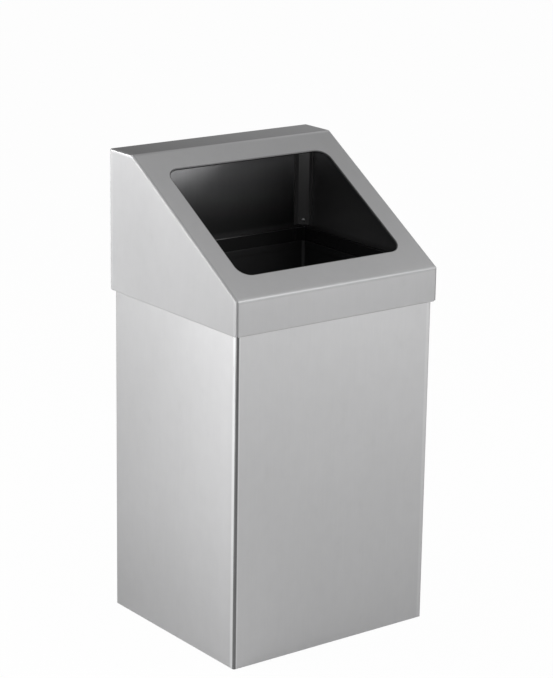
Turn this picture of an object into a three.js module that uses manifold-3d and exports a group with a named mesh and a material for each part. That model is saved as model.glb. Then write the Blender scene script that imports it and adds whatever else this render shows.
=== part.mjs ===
// Free-standing hooded waste receptacle in folded stainless sheet: an open-topped body on four
// hidden feet, a removable steel liner with two drop handles, and a lift-off hood whose sloped
// face has the waste opening.
// Millimetres, +Z up, front towards -Y. The origin is on the floor, under the body's centre.

import * as THREE from 'three';
import { mergeVertices } from 'three/addons/utils/BufferGeometryUtils.js';
import Module from 'manifold-3d';

const wasm = await Module();
wasm.setup();

// ---- Driving dimensions -------------------------------------------------------------------

// Stainless sheet
const SHEET = 1.2; // thickness of the body and hood sheet
const SEAM_GAP = 0.3; // gap left between two sheets that lie on each other
const BEND_RADIUS = 3.2; // outside radius of each press-brake bend
const HEM_LENGTH = 12; // height of a safety hem folded flat on its wall
const HEM_NOTCH = 1; // how far a hem stops short of the bend beside it

// Body
const BODY_WIDTH = 346; // over the side walls
const BODY_DEPTH = 306; // over the front wall and the back panel
const BODY_HEIGHT = 542; // lower edge to rim
const BACK_FLANGE = 18; // flange of the wrap that the back panel is welded to

// Base pan
const PAN_HEIGHT = 12; // lower edge of the wall to the top of the pan
const PAN_CORNER = 6; // corner radius of the pan

// Feet
const FOOT_PROUD = 2; // how far the feet stand out below the body
const FOOT_RADIUS = 14; // at the pan
const FOOT_TAPER = 2; // the tread is this much smaller in radius
const FOOT_ROUND = 1; // rounding of the tread's edge
const FOOT_INSET = 32; // foot centre to the pan's edge
const SCREW_RADIUS = 2; // shank of the screw that holds a foot
const SCREW_HEAD_RADIUS = 4.2;
const SCREW_HEAD_HEIGHT = 2.6;
const SCREW_REACH = 5; // screw above the pan's sheet
const SCREW_CLEARANCE = 0.3; // round the shank and under the head
const SCREW_SINK = 1.5; // head above the foot's tread
const COUNTERBORE_CLEARANCE = 1; // round the screw's head

// Hood
const HOOD_FIT = 2.3; // from the body's rim hem to the inside of the hood
const HOOD_SEAT_GAP = 0.3; // rest clearance between the hood and the rim
const SKIRT_HEIGHT = 50.5; // front skirt, lower edge to the fold
const HOOD_RISE = 159; // front fold to the top of the hood
const TOP_DEPTH = 58.5; // flat strip along the top
const LIP_LENGTH = 0.6; // straight part of the side panel's lip, past its bend
const OPENING_SIDE_MARGIN = 35.8; // opening to the side of the hood
const OPENING_TOP_MARGIN = 39; // opening to the upper crease, along the slope
const OPENING_FRONT_MARGIN = 44.6; // opening to the front fold, along the slope
const OPENING_RADIUS = 20; // corners of the opening
const OPENING_LIP = 3; // depth of the turned-in edge, from the outer face

// Rear corner posts of the hood, with the pads that rest on the rim
const POST_LEG = 12; // from the inside corner to where the post leaves the wall
const POST_FLANGE = 8; // weld flange along each wall
const POST_BEND = 2; // outside radius of the post's bends
const PAD_HEIGHT = 16; // height of the rubber pad behind the post
const PAD_DROP = 3; // how far the pad stands out below the post
const PAD_TRIM = 3; // cut off the pad's corners
const RIVET_RADIUS = 1.6; // shank
const RIVET_HEAD_RADIUS = 3;
const RIVET_HEAD_HEIGHT = 1.5;
const RIVET_GRIP = 4; // how far the rivet goes into the pad
const RIVET_RISE = 10; // rivet above the pad's seat
const RIVET_CLEARANCE = 0.3; // round the shank, under the head and past the tip

// Liner
const LINER_SHEET = 0.8; // coated steel sheet
const LINER_CLEARANCE = 3; // liner to the body, on each side
const LINER_BEND = 6; // outside radius of the liner's corners
const LINER_BASE_BEND = 2.2; // outside radius of the liner base's lower edge
const LINER_DROP = 20; // rim of the liner below the rim of the body
const LINER_LAP = 24; // width of the seam at the middle of its back
const LINER_HEM = 10; // height of the hem at its rim
const LINER_BASE_RISE = 11.2; // lower edge of the liner to the underside of its base
const LINER_BASE_FLANGE = 12; // height of the liner base with its flanges

// Drop handles of the liner
const HANDLE_WIDTH = 100; // between the centres of the two arms
const HANDLE_DROP = 60; // pivot to the grip's centre
const HANDLE_STUB = 14; // pivot end, past the arm's centre
const HANDLE_CORNER = 12; // bend radius between the arm and the grip
const HANDLE_ELBOW = 5; // bend radius between the stub and the arm
const HANDLE_BELOW_RIM = 30; // pivot below the liner's rim
const WIRE_RADIUS = 2.2;
const CLIP_SHEET = 1; // saddle clip that holds a stub on the wall
const CLIP_WIDTH = 8;
const CLIP_FOOT = 10; // weld foot above and below the hump
const CLIP_BEND = 1.8; // outside radius of the clip's bends
const WIRE_CLEARANCE = 0.3; // between the wire, the clip and the wall

// Facets
const BEND_FACETS = 4; // per bend
const ROUND_FACETS = 24; // round a foot, screw, rivet or hole
const DOME_FACETS = 5; // from a rivet head's edge to its crown
const WIRE_FACETS = 8; // round the wire
const WIRE_STEPS = 40; // along the wire
const CUT_MARGIN = 2; // how far a cutting body runs past what it cuts
const MERGE_DISTANCE = 1e-4; // vertices closer than this are one vertex
const SAME_POINT = 1e-6; // points of a path closer than this are one point
const LEAST_RADIUS = 0.01; // what a bend keeps of its radius where its face runs out

// ---- Derived sizes ------------------------------------------------------------------------

const HEM_RADIUS = SHEET + SEAM_GAP / 2; // outside radius of a flat hem's fold
const LINER_HEM_RADIUS = LINER_SHEET + SEAM_GAP / 2;

const BODY_HALF = BODY_WIDTH / 2;
const BODY_FRONT = -BODY_DEPTH / 2;
const BODY_BACK = BODY_DEPTH / 2;
const BODY_BOTTOM = FOOT_PROUD;
const RIM = BODY_BOTTOM + BODY_HEIGHT;
const FLANGE_FACE = BODY_BACK - SHEET - SEAM_GAP; // outer face of the wrap's back flanges

const PAN_TOP = BODY_BOTTOM + PAN_HEIGHT;
const PAN_HALF = BODY_HALF - SHEET - SEAM_GAP;
const PAN_FRONT = BODY_FRONT + SHEET + SEAM_GAP;
const PAN_BACK = FLANGE_FACE - SHEET - SEAM_GAP;
const FOOT_TOP = PAN_TOP - SHEET - SEAM_GAP;

const HEM_STANDOUT = 2 * HEM_RADIUS - SHEET; // rim hem past the body's wall
const OVERHANG = HEM_STANDOUT + HOOD_FIT + SHEET; // hood past the body, on each side
const HOOD_HALF = BODY_HALF + OVERHANG;
const HOOD_FRONT = BODY_FRONT - OVERHANG;
const HOOD_BACK = BODY_BACK + OVERHANG;
const CREASE = HOOD_BACK - TOP_DEPTH;
const SLOPE = Math.atan2(HOOD_RISE, CREASE - HOOD_FRONT);
const SLOPE_LENGTH = Math.hypot(HOOD_RISE, CREASE - HOOD_FRONT);

// The underside of the slope lies the seat gap off the rounded top of the body's front hem.
const FRONT_HEM_CENTRE = BODY_FRONT + SHEET - HEM_RADIUS;
const SEAT_REACH = SHEET + HEM_RADIUS + HOOD_SEAT_GAP;
const SEAT_RISE = (SEAT_REACH - Math.sin(SLOPE) * (FRONT_HEM_CENTRE - HOOD_FRONT)) / Math.cos(SLOPE);
const FRONT_FOLD = RIM - HEM_RADIUS + SEAT_RISE;
const SKIRT_EDGE = FRONT_FOLD - SKIRT_HEIGHT;
const HOOD_TOP = FRONT_FOLD + HOOD_RISE;
const SIDE_SEAM = HOOD_HALF - BEND_RADIUS - LIP_LENGTH; // where a side panel's lip ends

const POST_BACK = HOOD_BACK - SHEET - SEAM_GAP;
const POST_SIDE = HOOD_HALF - SHEET - SEAM_GAP;
const PAD_SEAT = RIM + HOOD_SEAT_GAP;

const LINER_HALF = BODY_HALF - SHEET - LINER_CLEARANCE;
const LINER_FRONT = BODY_FRONT + SHEET + LINER_CLEARANCE;
const LINER_BACK = FLANGE_FACE - SHEET - LINER_CLEARANCE;
const LINER_BOTTOM = PAN_TOP + SEAM_GAP;
const LINER_RIM = RIM - LINER_DROP;
const LAP_STEP = LINER_SHEET + SEAM_GAP; // the seam's inner layer lies this far inside
const PIVOT_HEIGHT = LINER_RIM - HANDLE_BELOW_RIM;
const PIVOT_STANDOFF = WIRE_CLEARANCE + WIRE_RADIUS; // from the liner's inner face

// ---- Materials ----------------------------------------------------------------------------

const stainless = { color: 0xb9babb, roughness: 0.38, metalness: 1 };
const blackCoated = { color: 0x1a1a1b, roughness: 0.5, metalness: 0 };
const zincPlated = { color: 0xa8abad, roughness: 0.35, metalness: 1 };
const blackRubber = { color: 0x1b1b1c, roughness: 0.8, metalness: 0 };

// ---- Geometry helpers ---------------------------------------------------------------------

/** A closed geometry as a solid that can be joined and cut. */
function toSolid(geometry) {
  const bare = geometry.clone();
  bare.deleteAttribute('normal');
  bare.deleteAttribute('uv');
  const merged = mergeVertices(bare, MERGE_DISTANCE);
  return new wasm.Manifold(new wasm.Mesh({
    numProp: 3,
    vertProperties: new Float32Array(merged.attributes.position.array),
    triVerts: new Uint32Array(merged.index.array),
  }));
}

/** A solid as a geometry again. */
function toGeometry(solid) {
  const mesh = solid.getMesh();
  const geometry = new THREE.BufferGeometry();
  geometry.setAttribute('position', new THREE.BufferAttribute(mesh.vertProperties, 3));
  geometry.setIndex(new THREE.BufferAttribute(mesh.triVerts, 1));
  geometry.computeVertexNormals();
  return geometry;
}

function join(...geometries) {
  return toGeometry(geometries.map(toSolid).reduce((whole, piece) => whole.add(piece)));
}

function cut(geometry, ...cutters) {
  return toGeometry(cutters.map(toSolid).reduce((rest, cutter) => rest.subtract(cutter), toSolid(geometry)));
}

/** Extrudes an outline along a world axis. The outline is in (y, z), (x, z) or (x, y). */
function extrudeAlong(axis, outline, from, to) {
  const X = new THREE.Vector3(1, 0, 0);
  const Y = new THREE.Vector3(0, 1, 0);
  const Z = new THREE.Vector3(0, 0, 1);
  const bases = { x: [Y, Z, X], y: [X, Z, Y.clone().negate()], z: [X, Y, Z] };
  const starts = { x: [from, 0, 0], y: [0, to, 0], z: [0, 0, from] };
  const shape = outline instanceof THREE.Shape ? outline : new THREE.Shape(outline);
  const geometry = new THREE.ExtrudeGeometry(shape, {
    depth: to - from,
    bevelEnabled: false,
    curveSegments: BEND_FACETS,
  });
  const placing = new THREE.Matrix4().makeBasis(...bases[axis]).setPosition(...starts[axis]);
  return geometry.applyMatrix4(placing);
}

/** Points along a polyline with rounded corners, each with its left-hand normal. */
function roundedPath(corners) {
  const points = corners.map(([x, y]) => new THREE.Vector2(x, y));
  const leftOf = (v) => new THREE.Vector2(-v.y, v.x);
  const samples = [];
  const put = (point, normal) => {
    const last = samples.at(-1);
    if (!last || last.point.distanceTo(point) > SAME_POINT) samples.push({ point, normal });
  };
  const heading = (i) => points[i + 1].clone().sub(points[i]).normalize();
  put(points[0], leftOf(heading(0)));
  for (let i = 1; i < points.length - 1; i += 1) {
    const into = heading(i - 1);
    const turn = Math.atan2(into.cross(heading(i)), into.dot(heading(i)));
    const radius = corners[i][2];
    const side = Math.sign(turn);
    const start = points[i].clone().addScaledVector(into, -radius * Math.tan(Math.abs(turn) / 2));
    const centre = start.clone().addScaledVector(leftOf(into), side * radius);
    for (let k = 0; k <= BEND_FACETS; k += 1) {
      const normal = leftOf(into).rotateAround(new THREE.Vector2(), (turn * k) / BEND_FACETS);
      put(centre.clone().addScaledVector(normal, -side * radius), normal);
    }
  }
  put(points.at(-1), leftOf(heading(points.length - 2)));
  return samples;
}

/**
 * Outline of a folded sheet. The corners [x, y, outside radius] run along one face and the
 * sheet lies to the right of them.
 */
function foldedSheet(corners, thickness) {
  const turns = corners.map((corner, i) => {
    if (i === 0 || i === corners.length - 1) return 0;
    const into = [corner[0] - corners[i - 1][0], corner[1] - corners[i - 1][1]];
    const out = [corners[i + 1][0] - corner[0], corners[i + 1][1] - corner[1]];
    return into[0] * out[1] - into[1] * out[0];
  });
  const face = corners.map(([x, y, radius = 0], i) => [x, y, turns[i] > 0 ? radius - thickness : radius]);
  const samples = roundedPath(face);
  const near = samples.map(({ point }) => point);
  const far = samples.map(({ point, normal }) => point.clone().addScaledVector(normal, -thickness));
  return [...near, ...far.reverse()];
}

/** Outline of a flat hem and the wall that carries it, in (across, down from the fold). */
function hemOutline({ wall, leaf, thickness, radius }) {
  return foldedSheet([[0, -wall], [0, 0, radius], [2 * radius, 0, radius], [2 * radius, -leaf]], thickness);
}

/** Moves an outline: across runs from origin in direction acrossSign, and up in upSign. */
function placeOutline(outline, [across, up], acrossSign, upSign) {
  return outline.map(({ x, y }) => new THREE.Vector2(across + acrossSign * x, up + upSign * y));
}

/** Rectangle with rounded corners, between two opposite corners. */
function roundedRectangle([x0, y0], [x1, y1], radius, facets = BEND_FACETS) {
  const centres = [[x1 - radius, y0 + radius], [x1 - radius, y1 - radius], [x0 + radius, y1 - radius],
    [x0 + radius, y0 + radius]];
  return centres.flatMap(([x, y], quarter) => Array.from({ length: facets + 1 }, (_, k) => {
    const angle = (quarter - 1 + k / facets) * (Math.PI / 2);
    return new THREE.Vector2(x + radius * Math.cos(angle), y + radius * Math.sin(angle));
  }));
}

/** A closed body through rings of 3-D points, each with as many points, capped flat at both ends. */
function loft(rings, flat) {
  const count = rings[0].length;
  const positions = rings.flat().flatMap((p) => [p.x, p.y, p.z]);
  const index = [];
  for (let ring = 0; ring < rings.length - 1; ring += 1) {
    for (let i = 0; i < count; i += 1) {
      const a = ring * count + i;
      const b = ring * count + ((i + 1) % count);
      index.push(a, b, b + count, a, b + count, a + count);
    }
  }
  const capFaces = (ring) => THREE.ShapeUtils.triangulateShape(ring.map(flat), []);
  const last = (rings.length - 1) * count;
  capFaces(rings[0]).forEach(([a, b, c]) => index.push(a, c, b));
  capFaces(rings.at(-1)).forEach(([a, b, c]) => index.push(last + a, last + b, last + c));
  const geometry = new THREE.BufferGeometry();
  geometry.setAttribute('position', new THREE.Float32BufferAttribute(positions, 3));
  geometry.setIndex(index);
  return geometry;
}

/** Turned body about +Z from an outline of [radius, height] points. */
function turned(outline) {
  const profile = outline.map(([radius, height]) => new THREE.Vector2(radius, height));
  return new THREE.LatheGeometry(profile, ROUND_FACETS).rotateX(Math.PI / 2);
}

/** The same piece on the other side of the plane x = 0, with its faces still pointing out. */
function mirrored(geometry) {
  const copy = toGeometry(toSolid(geometry)).scale(-1, 1, 1);
  const { array } = copy.index;
  for (let i = 0; i < array.length; i += 3) {
    [array[i + 1], array[i + 2]] = [array[i + 2], array[i + 1]];
  }
  copy.computeVertexNormals();
  return copy;
}

/** A round bar about +Z between two heights. */
function roundBar(radius, from, to) {
  const bar = new THREE.CylinderGeometry(radius, radius, to - from, ROUND_FACETS);
  return bar.rotateX(Math.PI / 2).translate(0, 0, (from + to) / 2);
}

function part(name, geometry, finish) {
  const mesh = new THREE.Mesh(geometry, new THREE.MeshStandardMaterial(finish));
  mesh.name = name;
  return mesh;
}

// ---- Body ---------------------------------------------------------------------------------

/** Front and both sides of the body from one sheet, with rim hems and flanges at the back. */
function bodyWrap() {
  const plan = foldedSheet([
    [BODY_HALF - BACK_FLANGE, FLANGE_FACE],
    [BODY_HALF, FLANGE_FACE, BEND_RADIUS],
    [BODY_HALF, BODY_FRONT, BEND_RADIUS],
    [-BODY_HALF, BODY_FRONT, BEND_RADIUS],
    [-BODY_HALF, FLANGE_FACE, BEND_RADIUS],
    [-BODY_HALF + BACK_FLANGE, FLANGE_FACE],
  ], SHEET);
  const walls = extrudeAlong('z', plan, BODY_BOTTOM, RIM - HEM_RADIUS);
  const hem = hemOutline({ wall: HEM_LENGTH, leaf: HEM_LENGTH, thickness: SHEET, radius: HEM_RADIUS });
  const inner = BODY_HALF - SHEET;
  const stop = BEND_RADIUS + HEM_NOTCH;
  const frontHem = placeOutline(hem, [BODY_FRONT + SHEET, RIM], -1, 1);
  const sideHems = [-1, 1].map((side) => extrudeAlong(
    'y', placeOutline(hem, [side * inner, RIM], side, 1), BODY_FRONT + stop, FLANGE_FACE - stop));
  return join(walls, extrudeAlong('x', frontHem, -BODY_HALF + stop, BODY_HALF - stop), ...sideHems);
}

/** Back panel, welded on the wrap's flanges, with its own rim hem. */
function bodyBackPanel() {
  const hem = hemOutline({
    wall: BODY_HEIGHT,
    leaf: HEM_LENGTH,
    thickness: SHEET,
    radius: HEM_RADIUS,
  });
  const reach = BODY_HALF - BEND_RADIUS;
  return extrudeAlong('x', placeOutline(hem, [BODY_BACK - SHEET, RIM], 1, 1), -reach, reach);
}

/** Sheet pan with rounded upper edges and flanges turned down. */
function foldedPan({ half, front, back, bottom, top, thickness, bend, corner }) {
  const ring = (inset, z) => roundedRectangle([-half + inset, front + inset], [half - inset, back - inset],
    corner - inset).map(({ x, y }) => new THREE.Vector3(x, y, z));
  const edge = (radius) => Array.from({ length: BEND_FACETS + 1 }, (_, k) => {
    const angle = (k / BEND_FACETS) * (Math.PI / 2);
    return ring(bend - radius * Math.cos(angle), top - bend + radius * Math.sin(angle));
  });
  const flat = ({ x, y }) => new THREE.Vector2(x, y);
  const outside = loft([ring(0, bottom), ...edge(bend)], flat);
  const inside = loft([ring(thickness, bottom - CUT_MARGIN), ...edge(bend - thickness)], flat);
  return cut(outside, inside);
}

/** Where the four feet stand: [name, x, y]. */
function footPlaces() {
  const x = PAN_HALF - FOOT_INSET;
  return [
    ['front_left', -x, PAN_FRONT + FOOT_INSET],
    ['front_right', x, PAN_FRONT + FOOT_INSET],
    ['rear_left', -x, PAN_BACK - FOOT_INSET],
    ['rear_right', x, PAN_BACK - FOOT_INSET],
  ];
}

/** Base pan of the body, pierced for the foot screws. */
function basePan() {
  const pan = foldedPan({
    half: PAN_HALF,
    front: PAN_FRONT,
    back: PAN_BACK,
    bottom: BODY_BOTTOM,
    top: PAN_TOP,
    thickness: SHEET,
    bend: BEND_RADIUS,
    corner: PAN_CORNER,
  });
  const holes = footPlaces().map(([, x, y]) => roundBar(
    SCREW_RADIUS + SCREW_CLEARANCE, PAN_TOP - SHEET - CUT_MARGIN, PAN_TOP + CUT_MARGIN).translate(x, y, 0));
  return cut(pan, ...holes);
}

/** Rubber foot about +Z, standing on z = 0, with a counterbore for the screw's head. */
function foot() {
  const tread = FOOT_RADIUS - FOOT_TAPER;
  const bore = SCREW_RADIUS + SCREW_CLEARANCE;
  const sink = SCREW_HEAD_RADIUS + COUNTERBORE_CLEARANCE;
  const seat = SCREW_SINK + SCREW_HEAD_HEIGHT + SCREW_CLEARANCE;
  return turned([
    [sink, 0],
    [tread - FOOT_ROUND, 0],
    [tread, FOOT_ROUND],
    [FOOT_RADIUS, FOOT_TOP],
    [bore, FOOT_TOP],
    [bore, seat],
    [sink, seat],
    [sink, 0],
  ]);
}

/** Pan-head screw about +Z, pointing up through the foot and the pan. */
function footScrew() {
  const headTop = SCREW_SINK + SCREW_HEAD_HEIGHT;
  const tip = PAN_TOP + SCREW_REACH;
  const dome = SCREW_HEAD_RADIUS - SCREW_HEAD_HEIGHT / 2;
  return turned([
    [0, SCREW_SINK],
    [dome, SCREW_SINK],
    [SCREW_HEAD_RADIUS, SCREW_SINK + SCREW_HEAD_HEIGHT / 2],
    [SCREW_HEAD_RADIUS, headTop],
    [SCREW_RADIUS, headTop],
    [SCREW_RADIUS, tip - SCREW_RADIUS],
    [0, tip],
  ]);
}

function body() {
  const group = new THREE.Group();
  group.add(part('body_wrap', bodyWrap(), stainless));
  group.add(part('body_back_panel', bodyBackPanel(), stainless));
  group.add(part('base_pan', basePan(), stainless));
  footPlaces().forEach(([place, x, y]) => {
    const stand = new THREE.Group();
    stand.add(part(`foot_${place}`, foot(), blackRubber));
    stand.add(part(`foot_screw_${place}`, footScrew(), zincPlated));
    stand.position.set(x, y, 0);
    group.add(stand);
  });
  return group;
}

// ---- Liner --------------------------------------------------------------------------------

/** Four walls of the liner from one sheet, lapped at the middle of the back. */
function linerShell() {
  const plan = foldedSheet([
    [-LINER_LAP / 2, LINER_BACK - LAP_STEP],
    [LINER_HALF, LINER_BACK - LAP_STEP, LINER_BEND],
    [LINER_HALF, LINER_FRONT, LINER_BEND],
    [-LINER_HALF, LINER_FRONT, LINER_BEND],
    [-LINER_HALF, LINER_BACK, LINER_BEND],
    [LINER_LAP / 2, LINER_BACK],
  ], LINER_SHEET);
  const walls = extrudeAlong('z', plan, LINER_BOTTOM, LINER_RIM - LINER_HEM_RADIUS);
  const hem = hemOutline({
    wall: LINER_HEM,
    leaf: LINER_HEM,
    thickness: LINER_SHEET,
    radius: LINER_HEM_RADIUS,
  });
  const stop = LINER_BEND + HEM_NOTCH;
  const across = LINER_HALF - stop;
  const sides = [-1, 1].map((side) => extrudeAlong('y',
    placeOutline(hem, [side * LINER_HALF, LINER_RIM], -side, 1),
    LINER_FRONT + stop, LINER_BACK - LAP_STEP - stop));
  const runs = [
    [LINER_FRONT, 1, -across, across],
    [LINER_BACK, -1, -across, -LINER_LAP / 2 - HEM_NOTCH],
    [LINER_BACK - LAP_STEP, -1, -LINER_LAP / 2, across],
  ].map(([y, inward, from, to]) => extrudeAlong('x', placeOutline(hem, [y, LINER_RIM], inward, 1), from, to));
  return join(walls, ...sides, ...runs);
}

/** Base of the liner, raised inside its walls, with its flanges turned up. */
function linerBase() {
  const underside = LINER_BOTTOM + LINER_BASE_RISE;
  const upsideDown = foldedPan({
    half: LINER_HALF - LINER_SHEET - SEAM_GAP,
    front: LAP_STEP + LINER_SHEET + SEAM_GAP - LINER_BACK,
    back: -LINER_SHEET - SEAM_GAP - LINER_FRONT,
    bottom: -underside - LINER_BASE_FLANGE,
    top: -underside,
    thickness: LINER_SHEET,
    bend: LINER_BASE_BEND,
    corner: LINER_BEND,
  });
  return upsideDown.rotateX(Math.PI);
}

/** Wire drop handle in the plane x = 0, hanging from a pivot line at z = 0. */
function dropHandle() {
  const half = HANDLE_WIDTH / 2;
  const at = (y, z) => new THREE.Vector3(0, y, z);
  const path = new THREE.CurvePath();
  const corners = [
    { at: at(-half, 0), radius: HANDLE_ELBOW },
    { at: at(-half, -HANDLE_DROP), radius: HANDLE_CORNER },
    { at: at(half, -HANDLE_DROP), radius: HANDLE_CORNER },
    { at: at(half, 0), radius: HANDLE_ELBOW },
  ];
  const ends = [at(-half - HANDLE_STUB, 0), at(half + HANDLE_STUB, 0)];
  const towards = (from, to, distance) => from.clone().add(to.clone().sub(from).setLength(distance));
  let last = ends[0];
  corners.forEach(({ at: corner, radius }, i) => {
    const next = corners[i + 1]?.at ?? ends[1];
    const start = towards(corner, last, radius);
    const end = towards(corner, next, radius);
    path.add(new THREE.LineCurve3(last, start));
    path.add(new THREE.QuadraticBezierCurve3(start, corner, end));
    last = end;
  });
  path.add(new THREE.LineCurve3(last, ends[1]));
  const section = new THREE.Shape(Array.from({ length: WIRE_FACETS }, (_, k) => {
    const angle = (k / WIRE_FACETS) * 2 * Math.PI;
    return new THREE.Vector2(WIRE_RADIUS * Math.cos(angle), WIRE_RADIUS * Math.sin(angle));
  }));
  return new THREE.ExtrudeGeometry(section, { steps: WIRE_STEPS, extrudePath: path, bevelEnabled: false });
}

/** Saddle clip over one stub of a handle, about the pivot line, its feet towards +X. */
function saddleClip() {
  const foot = PIVOT_STANDOFF - WIRE_CLEARANCE; // x of the clip's face on the wall
  const room = WIRE_RADIUS + WIRE_CLEARANCE; // from the wire's centre to the inside of the hump
  const reach = room + CLIP_SHEET + CLIP_FOOT;
  const outline = foldedSheet([
    [foot, reach],
    [foot, room, CLIP_BEND],
    [-room, room, CLIP_BEND],
    [-room, -room, CLIP_BEND],
    [foot, -room, CLIP_BEND],
    [foot, -reach],
  ], CLIP_SHEET);
  return extrudeAlong('y', outline, -CLIP_WIDTH / 2, CLIP_WIDTH / 2);
}

/** One handle with its two clips, on the wall at the given side. */
function handleSet(side, sideName) {
  const group = new THREE.Group();
  group.position.set(side * (LINER_HALF - LINER_SHEET - PIVOT_STANDOFF), 0, PIVOT_HEIGHT);
  group.add(part(`liner_handle_${sideName}`, dropHandle(), zincPlated));
  const clipAt = HANDLE_WIDTH / 2 + HANDLE_STUB - CLIP_WIDTH / 2 - WIRE_CLEARANCE;
  [['front', -clipAt], ['rear', clipAt]].forEach(([end, y]) => {
    const clip = part(`liner_clip_${sideName}_${end}`, saddleClip(), zincPlated);
    clip.position.y = y;
    clip.rotation.z = side > 0 ? 0 : Math.PI;
    group.add(clip);
  });
  return group;
}

function liner() {
  const group = new THREE.Group();
  group.add(part('liner_shell', linerShell(), blackCoated));
  group.add(part('liner_base', linerBase(), blackCoated));
  group.add(handleSet(-1, 'left'));
  group.add(handleSet(1, 'right'));
  return group;
}

// ---- Hood ---------------------------------------------------------------------------------

/** Corners of the hood's outer profile in (y, z), front skirt to back, each bend rounded. */
function hoodProfile(inset, edge) {
  const slopeInset = inset / Math.cos(SLOPE); // how far the slope's line drops
  const frontDrop = slopeInset - inset * Math.tan(SLOPE);
  const creaseShift = (slopeInset - inset) / Math.tan(SLOPE);
  const radius = BEND_RADIUS - inset;
  return [
    [HOOD_FRONT + inset, edge],
    [HOOD_FRONT + inset, FRONT_FOLD - frontDrop, radius],
    [CREASE + creaseShift, HOOD_TOP - inset, radius],
    [HOOD_BACK - inset, HOOD_TOP - inset, radius],
    [HOOD_BACK - inset, edge],
  ];
}

/** Places a geometry drawn in the slope's plane: x across, y up the slope, z out of the face. */
function ontoSlope(geometry) {
  const across = new THREE.Vector3(1, 0, 0);
  const uphill = new THREE.Vector3(0, Math.cos(SLOPE), Math.sin(SLOPE));
  const outward = new THREE.Vector3(0, -Math.sin(SLOPE), Math.cos(SLOPE));
  const placing = new THREE.Matrix4().makeBasis(across, uphill, outward);
  return geometry.applyMatrix4(placing.setPosition(0, HOOD_FRONT, FRONT_FOLD));
}

/** The opening's outline in the slope's plane, grown by a margin. */
function openingBody(grow, from, to) {
  const half = HOOD_HALF - OPENING_SIDE_MARGIN + grow;
  const outline = roundedRectangle(
    [-half, OPENING_FRONT_MARGIN - grow],
    [half, SLOPE_LENGTH - OPENING_TOP_MARGIN + grow],
    OPENING_RADIUS + grow,
    2 * BEND_FACETS,
  );
  return ontoSlope(extrudeAlong('z', outline, from, to));
}

/** Front skirt, slope, top and back of the hood from one sheet, with the waste opening. */
function hoodFaceSheet() {
  const profile = hoodProfile(0, SKIRT_EDGE);
  const hemTurn = 2 * HEM_RADIUS;
  const corners = [
    [HOOD_FRONT + hemTurn, SKIRT_EDGE + HEM_LENGTH],
    [HOOD_FRONT + hemTurn, SKIRT_EDGE, HEM_RADIUS],
    [HOOD_FRONT, SKIRT_EDGE, HEM_RADIUS],
    ...profile.slice(1, -1),
    [HOOD_BACK, SKIRT_EDGE, HEM_RADIUS],
    [HOOD_BACK - hemTurn, SKIRT_EDGE, HEM_RADIUS],
    [HOOD_BACK - hemTurn, SKIRT_EDGE + HEM_LENGTH],
  ];
  const reach = SIDE_SEAM - SEAM_GAP;
  const sheet = extrudeAlong('x', foldedSheet(corners, SHEET), -reach, reach);
  const lip = openingBody(SHEET, -OPENING_LIP, -SHEET / 2);
  return cut(join(sheet, lip), openingBody(0, -OPENING_LIP - CUT_MARGIN, CUT_MARGIN));
}

/** Right side panel of the hood: flat, with a rounded lip to the face sheet, and a hem. */
function hoodSidePanel() {
  const wallEdge = SKIRT_EDGE + HEM_RADIUS;
  const ring = (x, inset, edge) => roundedPath(hoodProfile(inset, edge))
    .map(({ point }) => new THREE.Vector3(x, point.x, point.y));
  const bendCentre = HOOD_HALF - BEND_RADIUS;
  const rounded = (radius, edge) => Array.from({ length: BEND_FACETS + 1 }, (_, k) => {
    const angle = (k / BEND_FACETS) * (Math.PI / 2);
    const inset = Math.min(BEND_RADIUS - radius * Math.cos(angle), BEND_RADIUS - LEAST_RADIUS);
    return ring(bendCentre + radius * Math.sin(angle), inset, edge);
  });
  const flat = ({ y, z }) => new THREE.Vector2(y, z);
  const cutEdge = wallEdge - CUT_MARGIN;
  const facingOut = (rings) => loft(rings.map((points) => points.reverse()), flat);
  const outside = facingOut([ring(SIDE_SEAM, 0, wallEdge), ...rounded(BEND_RADIUS, wallEdge)]);
  const inside = facingOut([
    ring(SIDE_SEAM - CUT_MARGIN, SHEET, cutEdge),
    ...rounded(BEND_RADIUS - SHEET, cutEdge),
  ]);
  const hem = hemOutline({ wall: HEM_LENGTH, leaf: HEM_LENGTH, thickness: SHEET, radius: HEM_RADIUS });
  const stop = 2 * HEM_RADIUS + HEM_NOTCH;
  const hemBody = extrudeAlong('y', placeOutline(hem, [HOOD_HALF, SKIRT_EDGE], -1, -1),
    HOOD_FRONT + stop, HOOD_BACK - stop);
  return join(cut(outside, inside), hemBody);
}

/** Direction from the bin's middle into a rear corner, level. */
function cornerDirection() {
  return new THREE.Vector3(1, 1, 0).normalize();
}

/** Body about +Z turned to point into the right rear corner, at a point on the post's face. */
function ontoPost(geometry) {
  const across = new THREE.Vector3(1, -1, 0).normalize();
  const up = new THREE.Vector3(0, 0, 1);
  const placing = new THREE.Matrix4().makeBasis(across, up, cornerDirection().negate());
  const faceX = POST_SIDE - POST_LEG / 2;
  const faceY = POST_BACK - POST_LEG / 2;
  return geometry.applyMatrix4(placing.setPosition(faceX, faceY, PAD_SEAT + RIVET_RISE));
}

/** Hole for the rivet, through the post and into the pad. */
function rivetHole() {
  const depth = RIVET_GRIP + RIVET_CLEARANCE;
  return ontoPost(roundBar(RIVET_RADIUS + RIVET_CLEARANCE, -depth, SHEET + CUT_MARGIN));
}

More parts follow.
